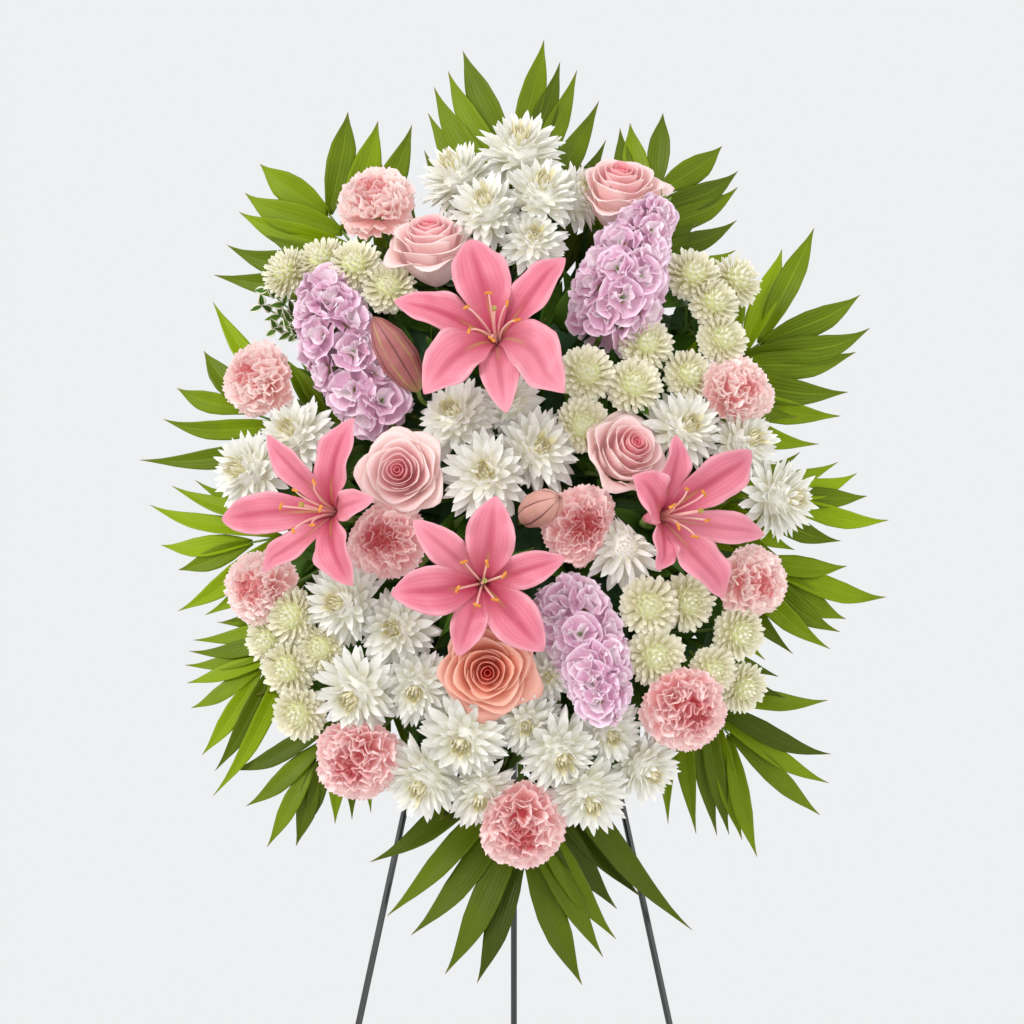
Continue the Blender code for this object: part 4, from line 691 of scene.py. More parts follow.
# Rings of a spray chrysanthemum: the latitude of the tips in degrees, and petals
MUM_RINGS = [(-24, 13), (-8, 15), (8, 16), (22, 15), (36, 14), (50, 12), (63, 9), (76, 6)]
MUM_DAISY_RINGS = [(-14, 13), (2, 15), (18, 14), (36, 10)]


def white_mum(sheets, head, rnd, open_heart):
    """A spray chrysanthemum: rings of long pointed petals on a dome, closing towards a pale heart."""
    size = head.radius * 1.06
    rings = MUM_DAISY_RINGS if open_heart else MUM_RINGS
    for k, (latitude, count) in enumerate(rings):
        inner = k / (len(rings) - 1)
        turn = around(count, 0.5 * (k % 2)) + rnd.uniform(-0.12, 0.12, count)
        angle = np.radians(latitude + rnd.uniform(-7, 7, count))
        reach = size * rnd.uniform(0.9, 1.1, count) * (1.04 - 0.22 * inner)
        base = ((0.14 - 0.1 * inner) * size, (-0.22 + 0.45 * inner) * size)
        tip = (reach * np.cos(angle), reach * np.sin(angle))
        width = size * rnd.uniform(0.23, 0.3, count) * (1 - 0.5 * inner)
        bend = rnd.uniform(-0.13, 0.02, count) + 0.12 * (k < 2)
        grids = blades(turn, base, tip, width, bend, 6, STRAP)
        layer = 1 - inner * (0.75 if open_heart else 1)
        add_petals(sheets, head, grids, "white", rnd.random(count), layer)
    count, wide, high = (26, 0.26, 0.5) if open_heart else (16, 0.17, 0.78)
    spread = np.sqrt((np.arange(count) + 0.5) / count) * wide * size
    tip = (spread, high * size * (1 - spread / size * 0.6))
    grids = blades(np.arange(count) * GOLDEN, (spread * 0.6, 0.0), tip, 0.085 * size, -0.08, 4, SPOON)
    add_petals(sheets, head, grids, "white", rnd.random(count), 0.0)
    dome(sheets, head, 0.4 * size, -0.2 * size, "white", layer=0.2)


def cream_pom(sheets, head, rnd):
    """A button chrysanthemum: short spoon petals in a spiral all over a flattened ball."""
    size = head.radius * 1.04
    count = 150
    share = ((np.arange(count) + 0.5) / count) ** 1.25
    angle = np.arcsin(1 - share * (1 + np.sin(np.radians(42))))
    inner = np.clip((np.degrees(angle) - 45) / 45, 0, 1)
    turn = np.arange(count) * GOLDEN + rnd.uniform(-0.08, 0.08, count)
    reach = size * rnd.uniform(0.92, 1.05, count) * (1 - 0.12 * inner)
    tilt = angle - 0.22 * np.cos(angle)
    base = (0.45 * size * np.cos(angle), 0.3 * size * np.sin(angle))
    tip = (reach * np.cos(tilt) * (1 - 0.35 * inner), reach * 0.84 * np.sin(tilt) + 0.04 * size)
    width = size * (0.09 + 0.12 * np.cos(angle)) * rnd.uniform(0.9, 1.1, count)
    grids = blades(turn, base, tip, width, -0.14, 5, SPOON)
    add_petals(sheets, head, grids, "cream", rnd.random(count), 1 - inner)
    dome(sheets, head, 0.5 * size, -0.3 * size, "cream", layer=0.0)


def round_skin(head, radii, heights, columns):
    """A round skin about a head's axis."""
    radii, heights = (np.asarray(values)[:, None] * np.ones(columns) for values in (radii, heights))
    return head.placed(ringed(around(columns)[None, :], 0.0, radii, heights))


def dome(sheets, head, size, foot, finish, layer=0.0):
    """The smooth core that petals stand on, down to the calyx behind it."""
    rows, columns = 12, 14
    rise = np.linspace(-0.5 * np.pi, 0.5 * np.pi, rows)
    radius = size * np.cos(rise) + 0.1 * MM
    height = np.where(rise < 0, foot * -np.sin(rise) * 2, size * np.sin(rise))
    grid = round_skin(head, radius, height, columns)
    sheets.add(crowded(head, grid), finish, layer=layer, across=np.full(columns, 0.3), closed=True)


def ruffled(radius, rings, rnd, ruffle, teeth, base_height, fan, marks=FAN, rows=7, columns=15,
            waving=(1.6, 2.8)):
    """Petals with waved and toothed edges: yields how far in each ring lies, and its grids in the
    head's axes. Each ring is (latitude of its tips in degrees, petals, reach as a share of the radius)."""
    side = np.linspace(-1, 1, columns)
    shares = np.linspace(0, 1, rows) ** 0.85
    for k, (latitude, count, reach) in enumerate(rings):
        inner = k / max(1, len(rings) - 1)
        turn = around(count, 0.5 * (k % 2)) + rnd.uniform(-0.2, 0.2, count)
        angle = np.radians(latitude + rnd.uniform(-9, 9, count))
        far = radius * reach * rnd.uniform(0.88, 1.06, count)
        grids = []
        for j in range(count):
            half = radius * fan * rnd.uniform(0.85, 1.15) * outline(marks, shares)
            waves = rnd.uniform(*waving)
            phase = rnd.uniform(0, 6.28)
            swell = ruffle * (1 + 0.6 * inner) * radius
            lift = swell * shares[:, None] ** 2 * np.sin(np.pi * waves * side + phase)[None]
            lift += 0.4 * swell * shares[:, None] ** 3 * np.sin(np.pi * waves * 2.3 * side)[None]
            edge = 1 - 0.13 * side**2 + teeth * (np.arange(columns) % 2 - 0.5)
            length = far[j] * (1 + (edge - 1)[None] * shares[:, None] ** 3)
            run = shares[:, None] * length
            start = base_height * radius
            rise = angle[j]
            r = run * np.cos(rise) - lift * np.sin(rise) + 0.03 * radius
            z = start + run * np.sin(rise) - start * shares[:, None] ** 2 + lift * np.cos(rise)
            grids.append(ringed(turn[j], half[:, None] * side[None], r, z))
        yield inner, np.array(grids)


# Rings of ruffled petals: the latitude of the tips in degrees, petals, and reach
CARNATION_RINGS = [(-10, 9, 1.05), (8, 10, 1.03), (24, 10, 0.98), (40, 9, 0.92), (56, 8, 0.86),
                   (72, 6, 0.8), (86, 5, 0.72)]
FLORET_RINGS = [(2, 5, 1.08), (26, 4, 0.78), (60, 3, 0.46)]
# A carnation's calyx from its rim to its foot, as (radius, height) in shares of the flower's radius
CALYX = [(0.3, -0.12), (0.3, -0.34), (0.24, -0.66), (0.12, -0.78)]
# Carnations of a deeper pink than the others
DEEP_CARNATIONS = ("carnation_middle", "carnation_bottom_left", "carnation_bottom", "carnation_centre",
                   "carnation_bottom_right")


def carnation(sheets, rnd, name, *shape):
    """Rings of fringed petals, waved and folded against each other, on a green calyx."""
    head = Head(*shape)
    size = head.radius
    finish = "deep_carnation" if name in DEEP_CARNATIONS else "carnation"
    for inner, grids in ruffled(size, CARNATION_RINGS, rnd, 0.1, 0.055, -0.35, 0.44):
        sheets.add(crowded(head, head.placed(grids)), finish, tint=rnd.random(len(grids)), layer=1 - inner)
    dome(sheets, head, 0.36 * size, -0.2 * size, finish, layer=0.0)
    calyx = round_skin(head, *(size * np.array(values) for values in zip(*CALYX)), 10)
    sheets.add(calyx, "stem", across=np.zeros(10), closed=True)
    path = main_stem(sheets, [head.centre - head.look * size * 0.7], head.look, CARNATION_STEM)
    stem_leaves(sheets, path, 5, 52 * MM, 8 * MM, LANCE, rnd, finish="stem")


# Rings of a rose: petals, then in shares of its radius how wide and high their rims and how high their
# feet are, half the angle that a petal wraps in degrees, and how far its rim rolls outwards
ROSE_RINGS = [
    (2, 0.07, 0.6, 0.1, 150, 0.0), (3, 0.14, 0.62, 0.0, 115, 0.0), (3, 0.23, 0.62, -0.2, 100, 0.02),
    (3, 0.35, 0.6, -0.35, 92, 0.05), (3, 0.49, 0.57, -0.55, 84, 0.12), (4, 0.67, 0.51, -0.78, 68, 0.22),
    (4, 0.85, 0.4, -0.92, 64, 0.34), (5, 1.0, 0.22, -0.98, 54, 0.46),
]


def rose(sheets, rnd, name, *shape):
    """A rose: petals wrapped round each other in a spiral, the outer ones open with rolled rims."""
    head = Head(*shape)
    size = head.radius
    finish = "peach" if name == "rose_peach" else "blush"
    rows, columns = 13, 13
    share = np.linspace(0, 1, rows)[:, None]
    side = np.linspace(-1, 1, columns)[None, :]
    for k, (count, rim_radius, rim_height, foot_height, spread, roll) in enumerate(ROSE_RINGS):
        outer = k / (len(ROSE_RINGS) - 1)
        start = k * GOLDEN + rnd.uniform(0, 1)
        for j in range(count):
            turn = start + 2 * np.pi * j / count + rnd.uniform(-0.12, 0.12)
            rim = rim_height + rnd.uniform(-0.03, 0.03)
            reach = share * (1 - (0.1 + 0.12 * outer) * np.abs(side) ** 2.4 * share)
            belly = 0.1 + 0.9 * np.sin(0.5 * np.pi * reach**0.85)
            curl = np.clip((reach - 0.66) / 0.34, 0, 1) ** 2 * roll * rnd.uniform(0.7, 1.3)
            curl = curl * (0.75 + 0.5 * np.cos(side * rnd.uniform(1.5, 3.5) + rnd.uniform(-1, 1)) ** 2)
            corner = 0.09 * outer * np.exp(-((side / 0.22) ** 2)) * share**6
            radius = size * ((rim_radius - 0.3 * roll) * belly + curl * 0.55 + corner) * (1 + 0.07 * side)
            height = size * (foot_height + (rim - foot_height) * reach - curl * 0.42)
            height = height + size * 0.025 * outer * np.sin(side * rnd.uniform(3, 6) + j) * share**2
            grid = ringed(turn + side * math.radians(spread), 0.0, radius, height)
            sheets.add(crowded(head, head.placed(grid)), finish, tint=rnd.random(), layer=outer)
    sepals = blades(around(5), (0.1 * size, -0.98 * size), (0.66 * size, -0.9 * size), 0.26 * size, -0.2,
                    6, LANCE)
    sheets.add(head.placed(sepals), "dark_leaf", across=CUPPED_ACROSS, closed=True)
    path = main_stem(sheets, [head.centre - head.look * head.radius * 0.7], head.look, ROSE_STEM)
    stem_leaves(sheets, path, 4, 44 * MM, 26 * MM, OVATE, rnd)


# The holes that are taken: the middle, the way and the radius of each
STABS = []


def within(value, limit):
    """The value, kept between the limit and its opposite."""
    return max(-limit, min(limit, value))


def on_foam(place, depth):
    """Where a stem from this place enters the foam, and the way it runs there."""
    if abs(place.x) < HALF_X + FOAM_MARGIN and abs(place.y) < HALF_Y + FOAM_MARGIN:
        flat_x = within(place.x * 0.9, HALF_X - FRONT_INSET)
        return Vector((flat_x, within(place.y * 0.9, HALF_Y - FRONT_INSET), FOAM_FRONT)), -AHEAD
    ratio = max(abs(place.x) / HALF_X, abs(place.y) / HALF_Y)
    entry = Vector((place.x / ratio, place.y / ratio, depth))
    if abs(place.x) / HALF_X > abs(place.y) / HALF_Y:
        entry.y = within(entry.y, HALF_Y - SIDE_INSET)
        return entry, Vector((-math.copysign(1, place.x), 0, 0))
    entry.x = within(entry.x, HALF_X - END_INSET)
    return entry, Vector((0, -math.copysign(1, place.y), 0))


def square_on(direction, side_hint):
    """Two ways that are square to a direction and to each other."""
    first = direction.cross(side_hint)
    if first.length < 1e-4:
        first = direction.cross(Vector((1, 0.3, 0.2)))
    first.normalize()
    return first, direction.cross(first).normalized()


def free_hole(place, depth, radius):
    """Takes the hole nearest to the one that suits this place and that keeps clear of the others, as in
    the part. Gives the hole's middle and the way it runs."""
    wanted, inwards = on_foam(place, depth)
    first, second = square_on(inwards, Vector((0.2, 0.1, 1)))
    for k in range(HOLE_TRIES):
        angle, reach = HOLE_TURN * k, HOLE_STEP * math.sqrt(k)
        entry = wanted + (first * math.cos(angle) + second * math.sin(angle)) * reach
        if all((entry - other).length > radius + wide + HOLE_SPACING or inwards.dot(way) < 0.5
               for other, way, wide in STABS):
            break
    STABS.append((entry, inwards, radius + HOLE_EASE))
    return entry, inwards


def stem_path(place, look, radius, depth=BLOOM_ENTRY):
    """A stem's path from behind a head, or from a fork, to its end in the foam."""
    entry, inwards = free_hole(place, depth, radius)
    length = (entry - place).length
    leave = place - look * min(0.35 * length, RUN_BEHIND)
    if inwards.z < 0:
        leave.z = max(leave.z, FOAM_FRONT + CLEAR_OF_FRONT)
    outside = entry - inwards * min(0.3 * length, RUN_BEFORE)
    return [leave, outside, entry + inwards * STEM_SUNK]


def smooth_path(points, steps=4):
    """The same path with its bends rounded. Its last stretch, in the foam, stays straight."""
    dense = [np.array(points[0])]
    for i in range(len(points) - 2):
        before = np.array(points[max(i - 1, 0)])
        here, after = np.array(points[i]), np.array(points[i + 1])
        beyond = np.array(points[i + 2])
        for t in np.linspace(0, 1, steps + 1)[1:]:
            bend = (2 * before - 5 * here + 4 * after - beyond) * t * t
            twist = (3 * here - before - 3 * after + beyond) * t**3
            dense.append(0.5 * (2 * here + (after - before) * t + bend + twist))
    dense.append(np.array(points[-1]))
    return dense


def stem(sheets, points, radius, finish="stem", columns=8, taper=1.0, smooth=True):
    """A round stem along a path, drawn in at both ends."""
    path = [Vector(p) for p in (smooth_path(points) if smooth and len(points) > 2 else points)]
    side, other = square_on((path[1] - path[0]).normalized(), Vector((0.1, 0.2, 1)))
    spokes = [side * math.cos(a) + other * math.sin(a) for a in around(columns)]
    rows = []
    for i, here in enumerate(path):
        heading = (path[min(i + 1, len(path) - 1)] - path[max(i - 1, 0)]).normalized()
        spokes = [(s - heading * s.dot(heading)).normalized() for s in spokes]
        wide = radius * (1 + (taper - 1) * i / (len(path) - 1))
        if i == 0:
            rows.append([here + s * 0.1 * wide for s in spokes])
        rows.append([here + s * wide for s in spokes])
    rows.append([here + s * 0.1 * wide for s in spokes])
    sheets.add(np.array(rows), finish, across=np.zeros(columns), closed=True)


def main_stem(sheets, tops, look, radius, depth=BLOOM_ENTRY, start=None):
    """A head's stem: its first points, then its way into the foam from the last of them, or from the
    start where that is another place. Gives the whole path."""
    path = [*tops, *stem_path(start or tops[-1], look, radius, depth)]
    stem(sheets, path, radius)
    return path


def stem_leaves(sheets, path, count, length, width, marks, rnd, start=0.12, end=0.72, finish="dark_leaf"):
    """Leaves along a stem, turned round it by the golden angle and pointing outwards and ahead."""
    path = [Vector(p) for p in path]
    lengths = np.cumsum([0] + [(b - a).length for a, b in zip(path, path[1:])])
    outwards = Vector((path[0].x, path[0].y, 0.1)).normalized()
    for k in range(count):
        place = lengths[-1] * (start + (end - start) * k / max(1, count - 1))
        i = min(int(np.searchsorted(lengths, place, side="right")) - 1, len(path) - 2)
        here = path[i].lerp(path[i + 1], (place - lengths[i]) / (lengths[i + 1] - lengths[i]))
        heading = (path[i] - path[i + 1]).normalized()
        swing = Quaternion(heading, k * GOLDEN + rnd.uniform(0, 1))
        turned = swing @ square_on(heading, Vector((0, 0.1, 1)))[0]
        stray = Vector(rnd.uniform(-0.15, 0.15, 3))
        way = (turned + heading * 0.55 + outwards * 0.35 + stray).normalized()
        long = length * rnd.uniform(0.8, 1.15)
        leaf(sheets, here, here + way * long, heading + outwards * 0.2, width * rnd.uniform(0.85, 1.1),
             finish, marks, arch=rnd.uniform(0.02, 0.12), rows=10, columns=5, tint=rnd.random())


def off_foam(fork):
    """The fork of a spray, moved clear of the foam."""
    beside_x, beside_y = HALF_X + FORK_CLEAR, HALF_Y + FORK_CLEAR
    if abs(fork.x) > beside_x or abs(fork.y) > beside_y:
        return fork
    if abs(fork.x) > beside_x - 1.3 * FORK_CLEAR:
        return Vector((math.copysign(beside_x, fork.x), fork.y, fork.z))
    if abs(fork.y) > beside_y - 1.3 * FORK_CLEAR:
        return Vector((fork.x, math.copysign(beside_y, fork.y), fork.z))
    return Vector((fork.x, fork.y, max(fork.z, FOAM_FRONT + FORK_AHEAD)))


def leaf(sheets, root, tip, up, width, finish, marks=LANCE, fold=0.25, arch=0.08, roll=0.0, sag=0.0,
         rows=14, columns=7, tint=0.5, tone_and_shade=1.0):
    """A leaf from its root to its tip, folded along its midrib, arched and rolled about its length. One
    that sags hangs down along its outer half and turns up again at its tip."""
    root, tip = np.array(root, float), np.array(tip, float)
    run = tip - root
    length = np.linalg.norm(run)
    heading = run / length
    side = np.cross(heading, np.array(up, float))
    side /= np.linalg.norm(side)
    lift = np.cross(side, heading)
    turn_cos, turn_sin = math.cos(roll), math.sin(roll)
    side, lift = side * turn_cos + lift * turn_sin, lift * turn_cos - side * turn_sin
    shares = np.linspace(0, 1, rows)
    across = np.linspace(-1, 1, columns)
    half = width / 2 * outline(marks, shares)
    middle = root + run * shares[:, None] + lift * (arch * length * np.sin(np.pi * shares))[:, None]
    drop = np.array([0.0, -1.0, 0.0]) + heading * heading[1]
    middle += drop * (sag * length * np.sin(np.pi * shares**1.7))[:, None]
    raised = half[:, None] * fold * np.abs(across)[None] ** 1.3
    grid = middle[:, None] + side * (half[:, None] * across)[..., None] + lift * raised[..., None]
    # The layer mark: the leaf's tone and painted shade, moved by its tint
    sheets.add(grid, finish, tint=tint, layer=tone_and_shade + LEAFLET_CONTRAST * (tint - 0.5))


def spray(sheets, rnd, name, rows):
    """Several heads whose short stems meet in one that stands in the foam."""
    heads = [Head(*row) for row in rows]
    radius = WHITE_STEM if name.startswith("white") else CREAM_STEM
    for head in heads:
        if name.startswith("white"):
            white_mum(sheets, head, rnd, name == "white_mum_daisy")
        else:
            cream_pom(sheets, head, rnd)
    if len(heads) == 1:
        head = heads[0]
        main_stem(sheets, [head.centre - head.look * head.radius * 0.5], head.look, radius)
        return
    middle = sum((h.centre for h in heads), Vector()) / len(heads)
    look_out = sum((h.look for h in heads), Vector()).normalized()
    fork = off_foam(middle - look_out * FORK_BEHIND)
    for head in heads:
        behind = head.point(0, 0, -0.3 * head.radius)
        leave = head.point(0, 0, -0.7 * head.radius)
        stem(sheets, [behind, leave, fork.lerp(leave, 0.3), fork], radius * 0.7)
        for share in (0.4, 0.75):
            start = fork.lerp(leave, share)
            turned = np.array(head.axes @ ringed(rnd.uniform(0, 6.28), 0.0, 34 * MM, 6 * MM))
            leaf(sheets, start, np.array(start) + turned, head.look, 20 * MM, "dark_leaf", OVATE,
                 tint=rnd.random(), rows=8, columns=5)
    path = main_stem(sheets, [fork], look_out, radius, FORK_ENTRY, fork - look_out * 4 * MM)
    stem_leaves(sheets, path, 5, 46 * MM, 26 * MM, OVATE, rnd, start=0.0)


def on_head_plane(head, across, down, height):
    """The point at this pixel that is so far forward in the head's own axes, as x, y and z there."""
    near, far = spot(across, down, 0.08), spot(across, down, 0.24)
    base = head.centre + head.look * height
    share = (base - near).dot(head.look) / (far - near).dot(head.look)
    return head.turned.inverted() @ (near.lerp(far, share) - head.centre)


# Broad and narrow lily petals: reach as a share of the length, rise and half width as shares of the
# flower's radius
LILY_PETALS = [
    [(0.0, -0.1, 0.06), (0.08, 0.0, 0.12), (0.18, 0.08, 0.185), (0.3, 0.15, 0.25), (0.42, 0.2, 0.285),
     (0.55, 0.24, 0.285), (0.68, 0.25, 0.25), (0.8, 0.24, 0.188), (0.9, 0.22, 0.115), (0.96, 0.2, 0.058),
     (1.0, 0.17, 0.006)],
    [(0.0, -0.14, 0.05), (0.08, -0.05, 0.09), (0.18, 0.02, 0.125), (0.3, 0.08, 0.17), (0.42, 0.14, 0.205),
     (0.55, 0.17, 0.205), (0.68, 0.18, 0.18), (0.8, 0.17, 0.134), (0.9, 0.15, 0.082), (0.96, 0.135, 0.044),
     (1.0, 0.12, 0.006)],
]
# In mm: a stamen as (outwards, forwards), the style as x, y and z, and the throat as (radius, height)
STAMEN = [(3, -9), (6, 8), (11, 22), (17, 33), (22, 38)]
STYLE = [(0, 0, -10), (0.5, 0, 12), (2, 1, 30), (4, 2, 44)]
THROAT = [(7.5, -9), (7.2, -16), (5.4, -25), (3.2, -33)]
# Lilies whose first petal is a broad one. The others start with a narrow one.
BROAD_FIRST = ("lily_right",)
# How broad each lily's petals look beside those of the widest
LILY_BREADTHS = {"lily_top": 1.0, "lily_left": 0.76, "lily_right": 0.84, "lily_low": 0.92}


def lily(sheets, rnd, name, *row):
    """Six petals that curl back from a throat, with six stamens and a style in it."""
    *shape, tips = row
    head = Head(*shape)
    size = head.radius
    kinds = [(k + (name not in BROAD_FIRST)) % 2 for k in range(6)]
    marks = [on_head_plane(head, *tip, LILY_PETALS[kind][-1][1] * size) for kind, tip in zip(kinds, tips)]
    bearings = [math.atan2(m.y, m.x) for m in marks]
    turns = [b - math.pi * k / 3 for k, b in enumerate(bearings)]
    first = math.atan2(sum(math.sin(t) for t in turns), sum(math.cos(t) for t in turns))
    rows, columns = 30, 15
    shares = 1 - (1 - np.linspace(0, 1, rows)) ** 1.25
    side = np.linspace(-1, 1, columns)
    for k, mark in enumerate(marks):
        length = math.hypot(mark.x, mark.y)
        reaches, rises, halves = (np.array(c) for c in zip(*LILY_PETALS[kinds[k]]))
        rise = np.interp(shares, reaches, rises) * size
        half = np.interp(shares, reaches, halves) * size * LILY_BREADTHS[name]
        aside = math.remainder(bearings[k] - first - math.pi * k / 3, 2 * math.pi)
        bearing = first + math.pi * k / 3 + aside * np.clip(shares / 0.75, 0, 1)
        radius = 4 * MM + shares * (length - 4 * MM)
        wave = 0.08 * half[:, None] * np.sin(side * 2.5 + shares[:, None] * 15 + k * 1.7) * side**2
        cup = 0.34 * half[:, None] * np.abs(side) ** 1.5 * (1 - 0.9 * shares[:, None] ** 2)
        cup -= 0.1 * half[:, None] * np.exp(-((side / 0.1) ** 2)) * (1 - shares[:, None])
        height = rise[:, None] + cup + wave * 2.2
        grid = ringed(bearing[:, None], half[:, None] * side, radius[:, None] * np.ones(columns), height)
        sheets.add(head.placed(grid), "lily", tint=rnd.random(), layer=0.0)
    for k in range(6):
        angle = first + math.pi * k / 3 + rnd.uniform(-0.12, 0.12)
        lean = rnd.uniform(0.8, 1.15)
        points = [head.point(r * MM * lean * math.cos(angle), r * MM * lean * math.sin(angle), z * MM)
                  for r, z in STAMEN]
        stem(sheets, points, 0.85 * MM, "filament", columns=6, taper=0.6)
        end = points[-1]
        swung = angle + rnd.uniform(0.5, 1.4)
        lay = head.turned @ Vector((math.cos(swung), math.sin(swung), 0.5 * rnd.uniform(-1, 1)))
        bow = [end - lay * s * 2.8 * MM - head.look * s * s * 1.4 * MM for s in (-1, -0.6, 0, 0.6, 1)]
        stem(sheets, bow, 1.2 * MM, "anther", columns=7, taper=0.7, smooth=False)
    style = [head.point(x * MM, y * MM, z * MM) for x, y, z in STYLE]
    stem(sheets, style, 1.2 * MM, "filament", taper=0.9)
    stem(sheets, [style[-1], style[-1] + head.look * 2.5 * MM], 2.1 * MM, "green_stigma", columns=9,
         smooth=False)
    throat = round_skin(head, *(MM * np.array(values) for values in zip(*THROAT)), 12)
    sheets.add(throat, "lily", layer=1.0, across=np.full(12, 0.5), closed=True)
    path = main_stem(sheets, [head.point(0, 0, -30 * MM)], AHEAD, LILY_STEM,
                     start=head.point(0, 0, -36 * MM))
    stem_leaves(sheets, path, 6, 70 * MM, 18 * MM, LANCE, rnd, start=0.4, end=0.8)


# A bud's girth from its foot to its tip, as (share of its length, share of its radius)
BUD_GIRTH = [(0, 0.16), (0.06, 0.4), (0.15, 0.72), (0.42, 1.0), (0.7, 0.86), (0.9, 0.45), (0.97, 0.24),
             (1, 0.05)]


def lily_bud(sheets, _rnd, name, *shape):
    """A closed bud with six ridges."""
    head = Head(*shape)
    long = head.radius * 2.1
    shares = np.linspace(0, 1, 18)
    girth = outline(BUD_GIRTH, shares)
    turn = around(36)
    seam = np.exp(-(((np.mod(turn, np.pi / 3) - 0.02) / 0.06) ** 2))
    ridge = 0.9 + 0.1 * np.abs(np.cos(1.5 * turn)) - 0.07 * seam
    radius = head.radius * girth[:, None] * ridge[None]
    height = (shares[:, None] * 2 - 1) * long * np.ones(36)
    grid = head.placed(ringed(turn[None, :], 0.0, radius, height))
    young = name == "lily_bud_small"
    sheets.add(grid, "lily_bud", tint=float(young), across=np.cos(3 * turn), closed=True)
    main_stem(sheets, [head.point(0, 0, -long * 0.96)], AHEAD, BUD_STEM,
              start=head.point(0, 0, -long * 1.15))


FLORET_SPACING = 38 * MM


def stock(sheets, rnd, _name, marks):
    """A spike of double florets, large at its foot and small at its tip."""
    line = [np.array(spot(x, y, dome_depth(x, y) + ahead * MM)) for x, y, _, ahead in marks]
    radii = np.array([r for _, _, r, _ in marks]) * MM
    levels = 6
    for level in range(levels):
        share = (level + 0.3) / levels * (len(line) - 1)
        i = min(int(share), len(line) - 2)
        here = line[i] + (line[i + 1] - line[i]) * (share - i)
        radius = np.interp(share, range(len(radii)), radii)
        heading = (line[i + 1] - line[i]) / np.linalg.norm(line[i + 1] - line[i])
        side, other = (np.array(v) for v in square_on(Vector(heading), AHEAD))
        florets = 3 if level == 0 else max(4, round(2 * math.pi * radius / FLORET_SPACING))
        for turn in around(florets, 0.5 * level):
            angle = turn + rnd.uniform(-0.2, 0.2)
            out = side * math.cos(angle) + other * math.sin(angle)
            look = Vector(out - heading * (0.7 - 1.0 * level / levels)).normalized()
            size = min(rnd.uniform(19, 25) * MM, radius * 0.85)
            centre = here + np.array(look) * (radius - size * 0.4)
            axes = np.array(AHEAD.rotation_difference(look).to_matrix())
            shade = rnd.random()
            for inner, grids in ruffled(size, FLORET_RINGS, rnd, 0.07, 0.0, -0.3, 0.56, ROUND, 7, 9,
                                        (0.7, 1.5)):
                sheets.add(grids @ axes.T + centre, "stock", tint=shade, layer=1 - inner)
            stem(sheets, [centre, here], 1.2 * MM, smooth=False, columns=5)
    heading = Vector(line[0] - line[1]).normalized()
    for k in range(5):
        swing = Quaternion(heading, k * 2.4) @ square_on(heading, AHEAD)[0]
        root = Vector(line[0]) + heading * (2 + 3 * k) * MM
        way = (heading + swing * 0.8).normalized()
        leaf(sheets, root, root + way * 12 * MM, swing, 7 * MM, "stem", OVATE, rows=6, columns=5)
    stem(sheets, [Vector(p) for p in line], 2.4 * MM)
    down = (Vector(line[-1]) - Vector(line[-2])).normalized()
    foot = Vector(line[-1]) + down * 8 * MM - Vector((0, 0, 4 * MM))
    main_stem(sheets, [Vector(line[-1]), foot], AHEAD, STOCK_STEM)


def foam_rib(across, down, foot_depth, end_depth):
    """A rib's end at a pixel, the place where it bends outside the foam, and its foot in the foam."""
    end = spot(across, down, end_depth * MM)
    entry, inwards = free_hole(Vector((end.x * 3, end.y * 3, 0)), foot_depth * MM, RIB_HOLE)
    return end, entry - inwards * BEND_OUTSIDE, entry + inwards * STEM_SUNK


def frond(sheets, rnd, name, pixel, foot_depth, end_depth, width, tips):
    """A frond: a rib from the foam with a leaflet to each of the tips, and a palm's more near the foam."""
    finish, fuller, inner = ("palm", 1.06, 4) if name in FROND_TONE_AND_SHADE else ("dark_leaf", 1.2, 0)
    # How light its leaflets are painted: the frond's own tone and painted shade
    tone_and_shade = FROND_TONE_AND_SHADE.get(name, 1.0)
    end, outside, foot = foam_rib(*pixel, foot_depth, end_depth)
    heading = (end - outside).normalized()
    reach = (end - outside).length
    sides = ([], [])
    for tip in tips:
        way = spot(*tip, end_depth * MM) - (end - heading * reach * 0.3)
        turned = math.atan2(heading.x * way.y - heading.y * way.x, heading.x * way.x + heading.y * way.y)
        sides[0 if turned > 0 else 1].append((abs(turned), tip))
    count = max(len(side) for side in sides)
    ribs = [outside + heading * reach * (1 - 0.75 * k / count) for k in range(count + 1)]
    stem(sheets, [end, *ribs[1:], outside, foot], RIB_RADIUS * 0.35, taper=2.6, smooth=False)
    for marks, hand in zip(sides, (1, -1)):
        for cell, (_, mark) in enumerate(sorted(marks)):
            root = (ribs[cell] + ribs[cell + 1]) / 2
            tip = spot(*mark, (end_depth - 4 - 3 * cell) * MM)
            leaf(sheets, root, tip, AHEAD, width * MM * fuller * rnd.uniform(0.9, 1.08), finish,
                 fold=0.22, arch=rnd.uniform(0.02, 0.06), roll=hand * rnd.uniform(0.1, 0.35),
                 sag=rnd.uniform(0.03, 0.075), rows=18, columns=9, tint=rnd.random(),
                 tone_and_shade=tone_and_shade)
    for k in range(inner):
        share = 0.04 + 0.4 * k / inner
        for hand in (-1, 1):
            root = outside + heading * reach * share
            way = Quaternion((0, 0, 1), hand * rnd.uniform(0.5, 0.85)) @ heading
            tip = root + way * rnd.uniform(95, 125) * MM + Vector((0, 0, rnd.uniform(-6, 14) * MM))
            leaf(sheets, root, tip, AHEAD, width * MM * fuller * rnd.uniform(0.9, 1.1), finish,
                 fold=0.25, arch=rnd.uniform(0.0, 0.08), roll=hand * rnd.uniform(0.1, 0.4), rows=16,
                 columns=7, tint=rnd.random() * 0.5, tone_and_shade=tone_and_shade)


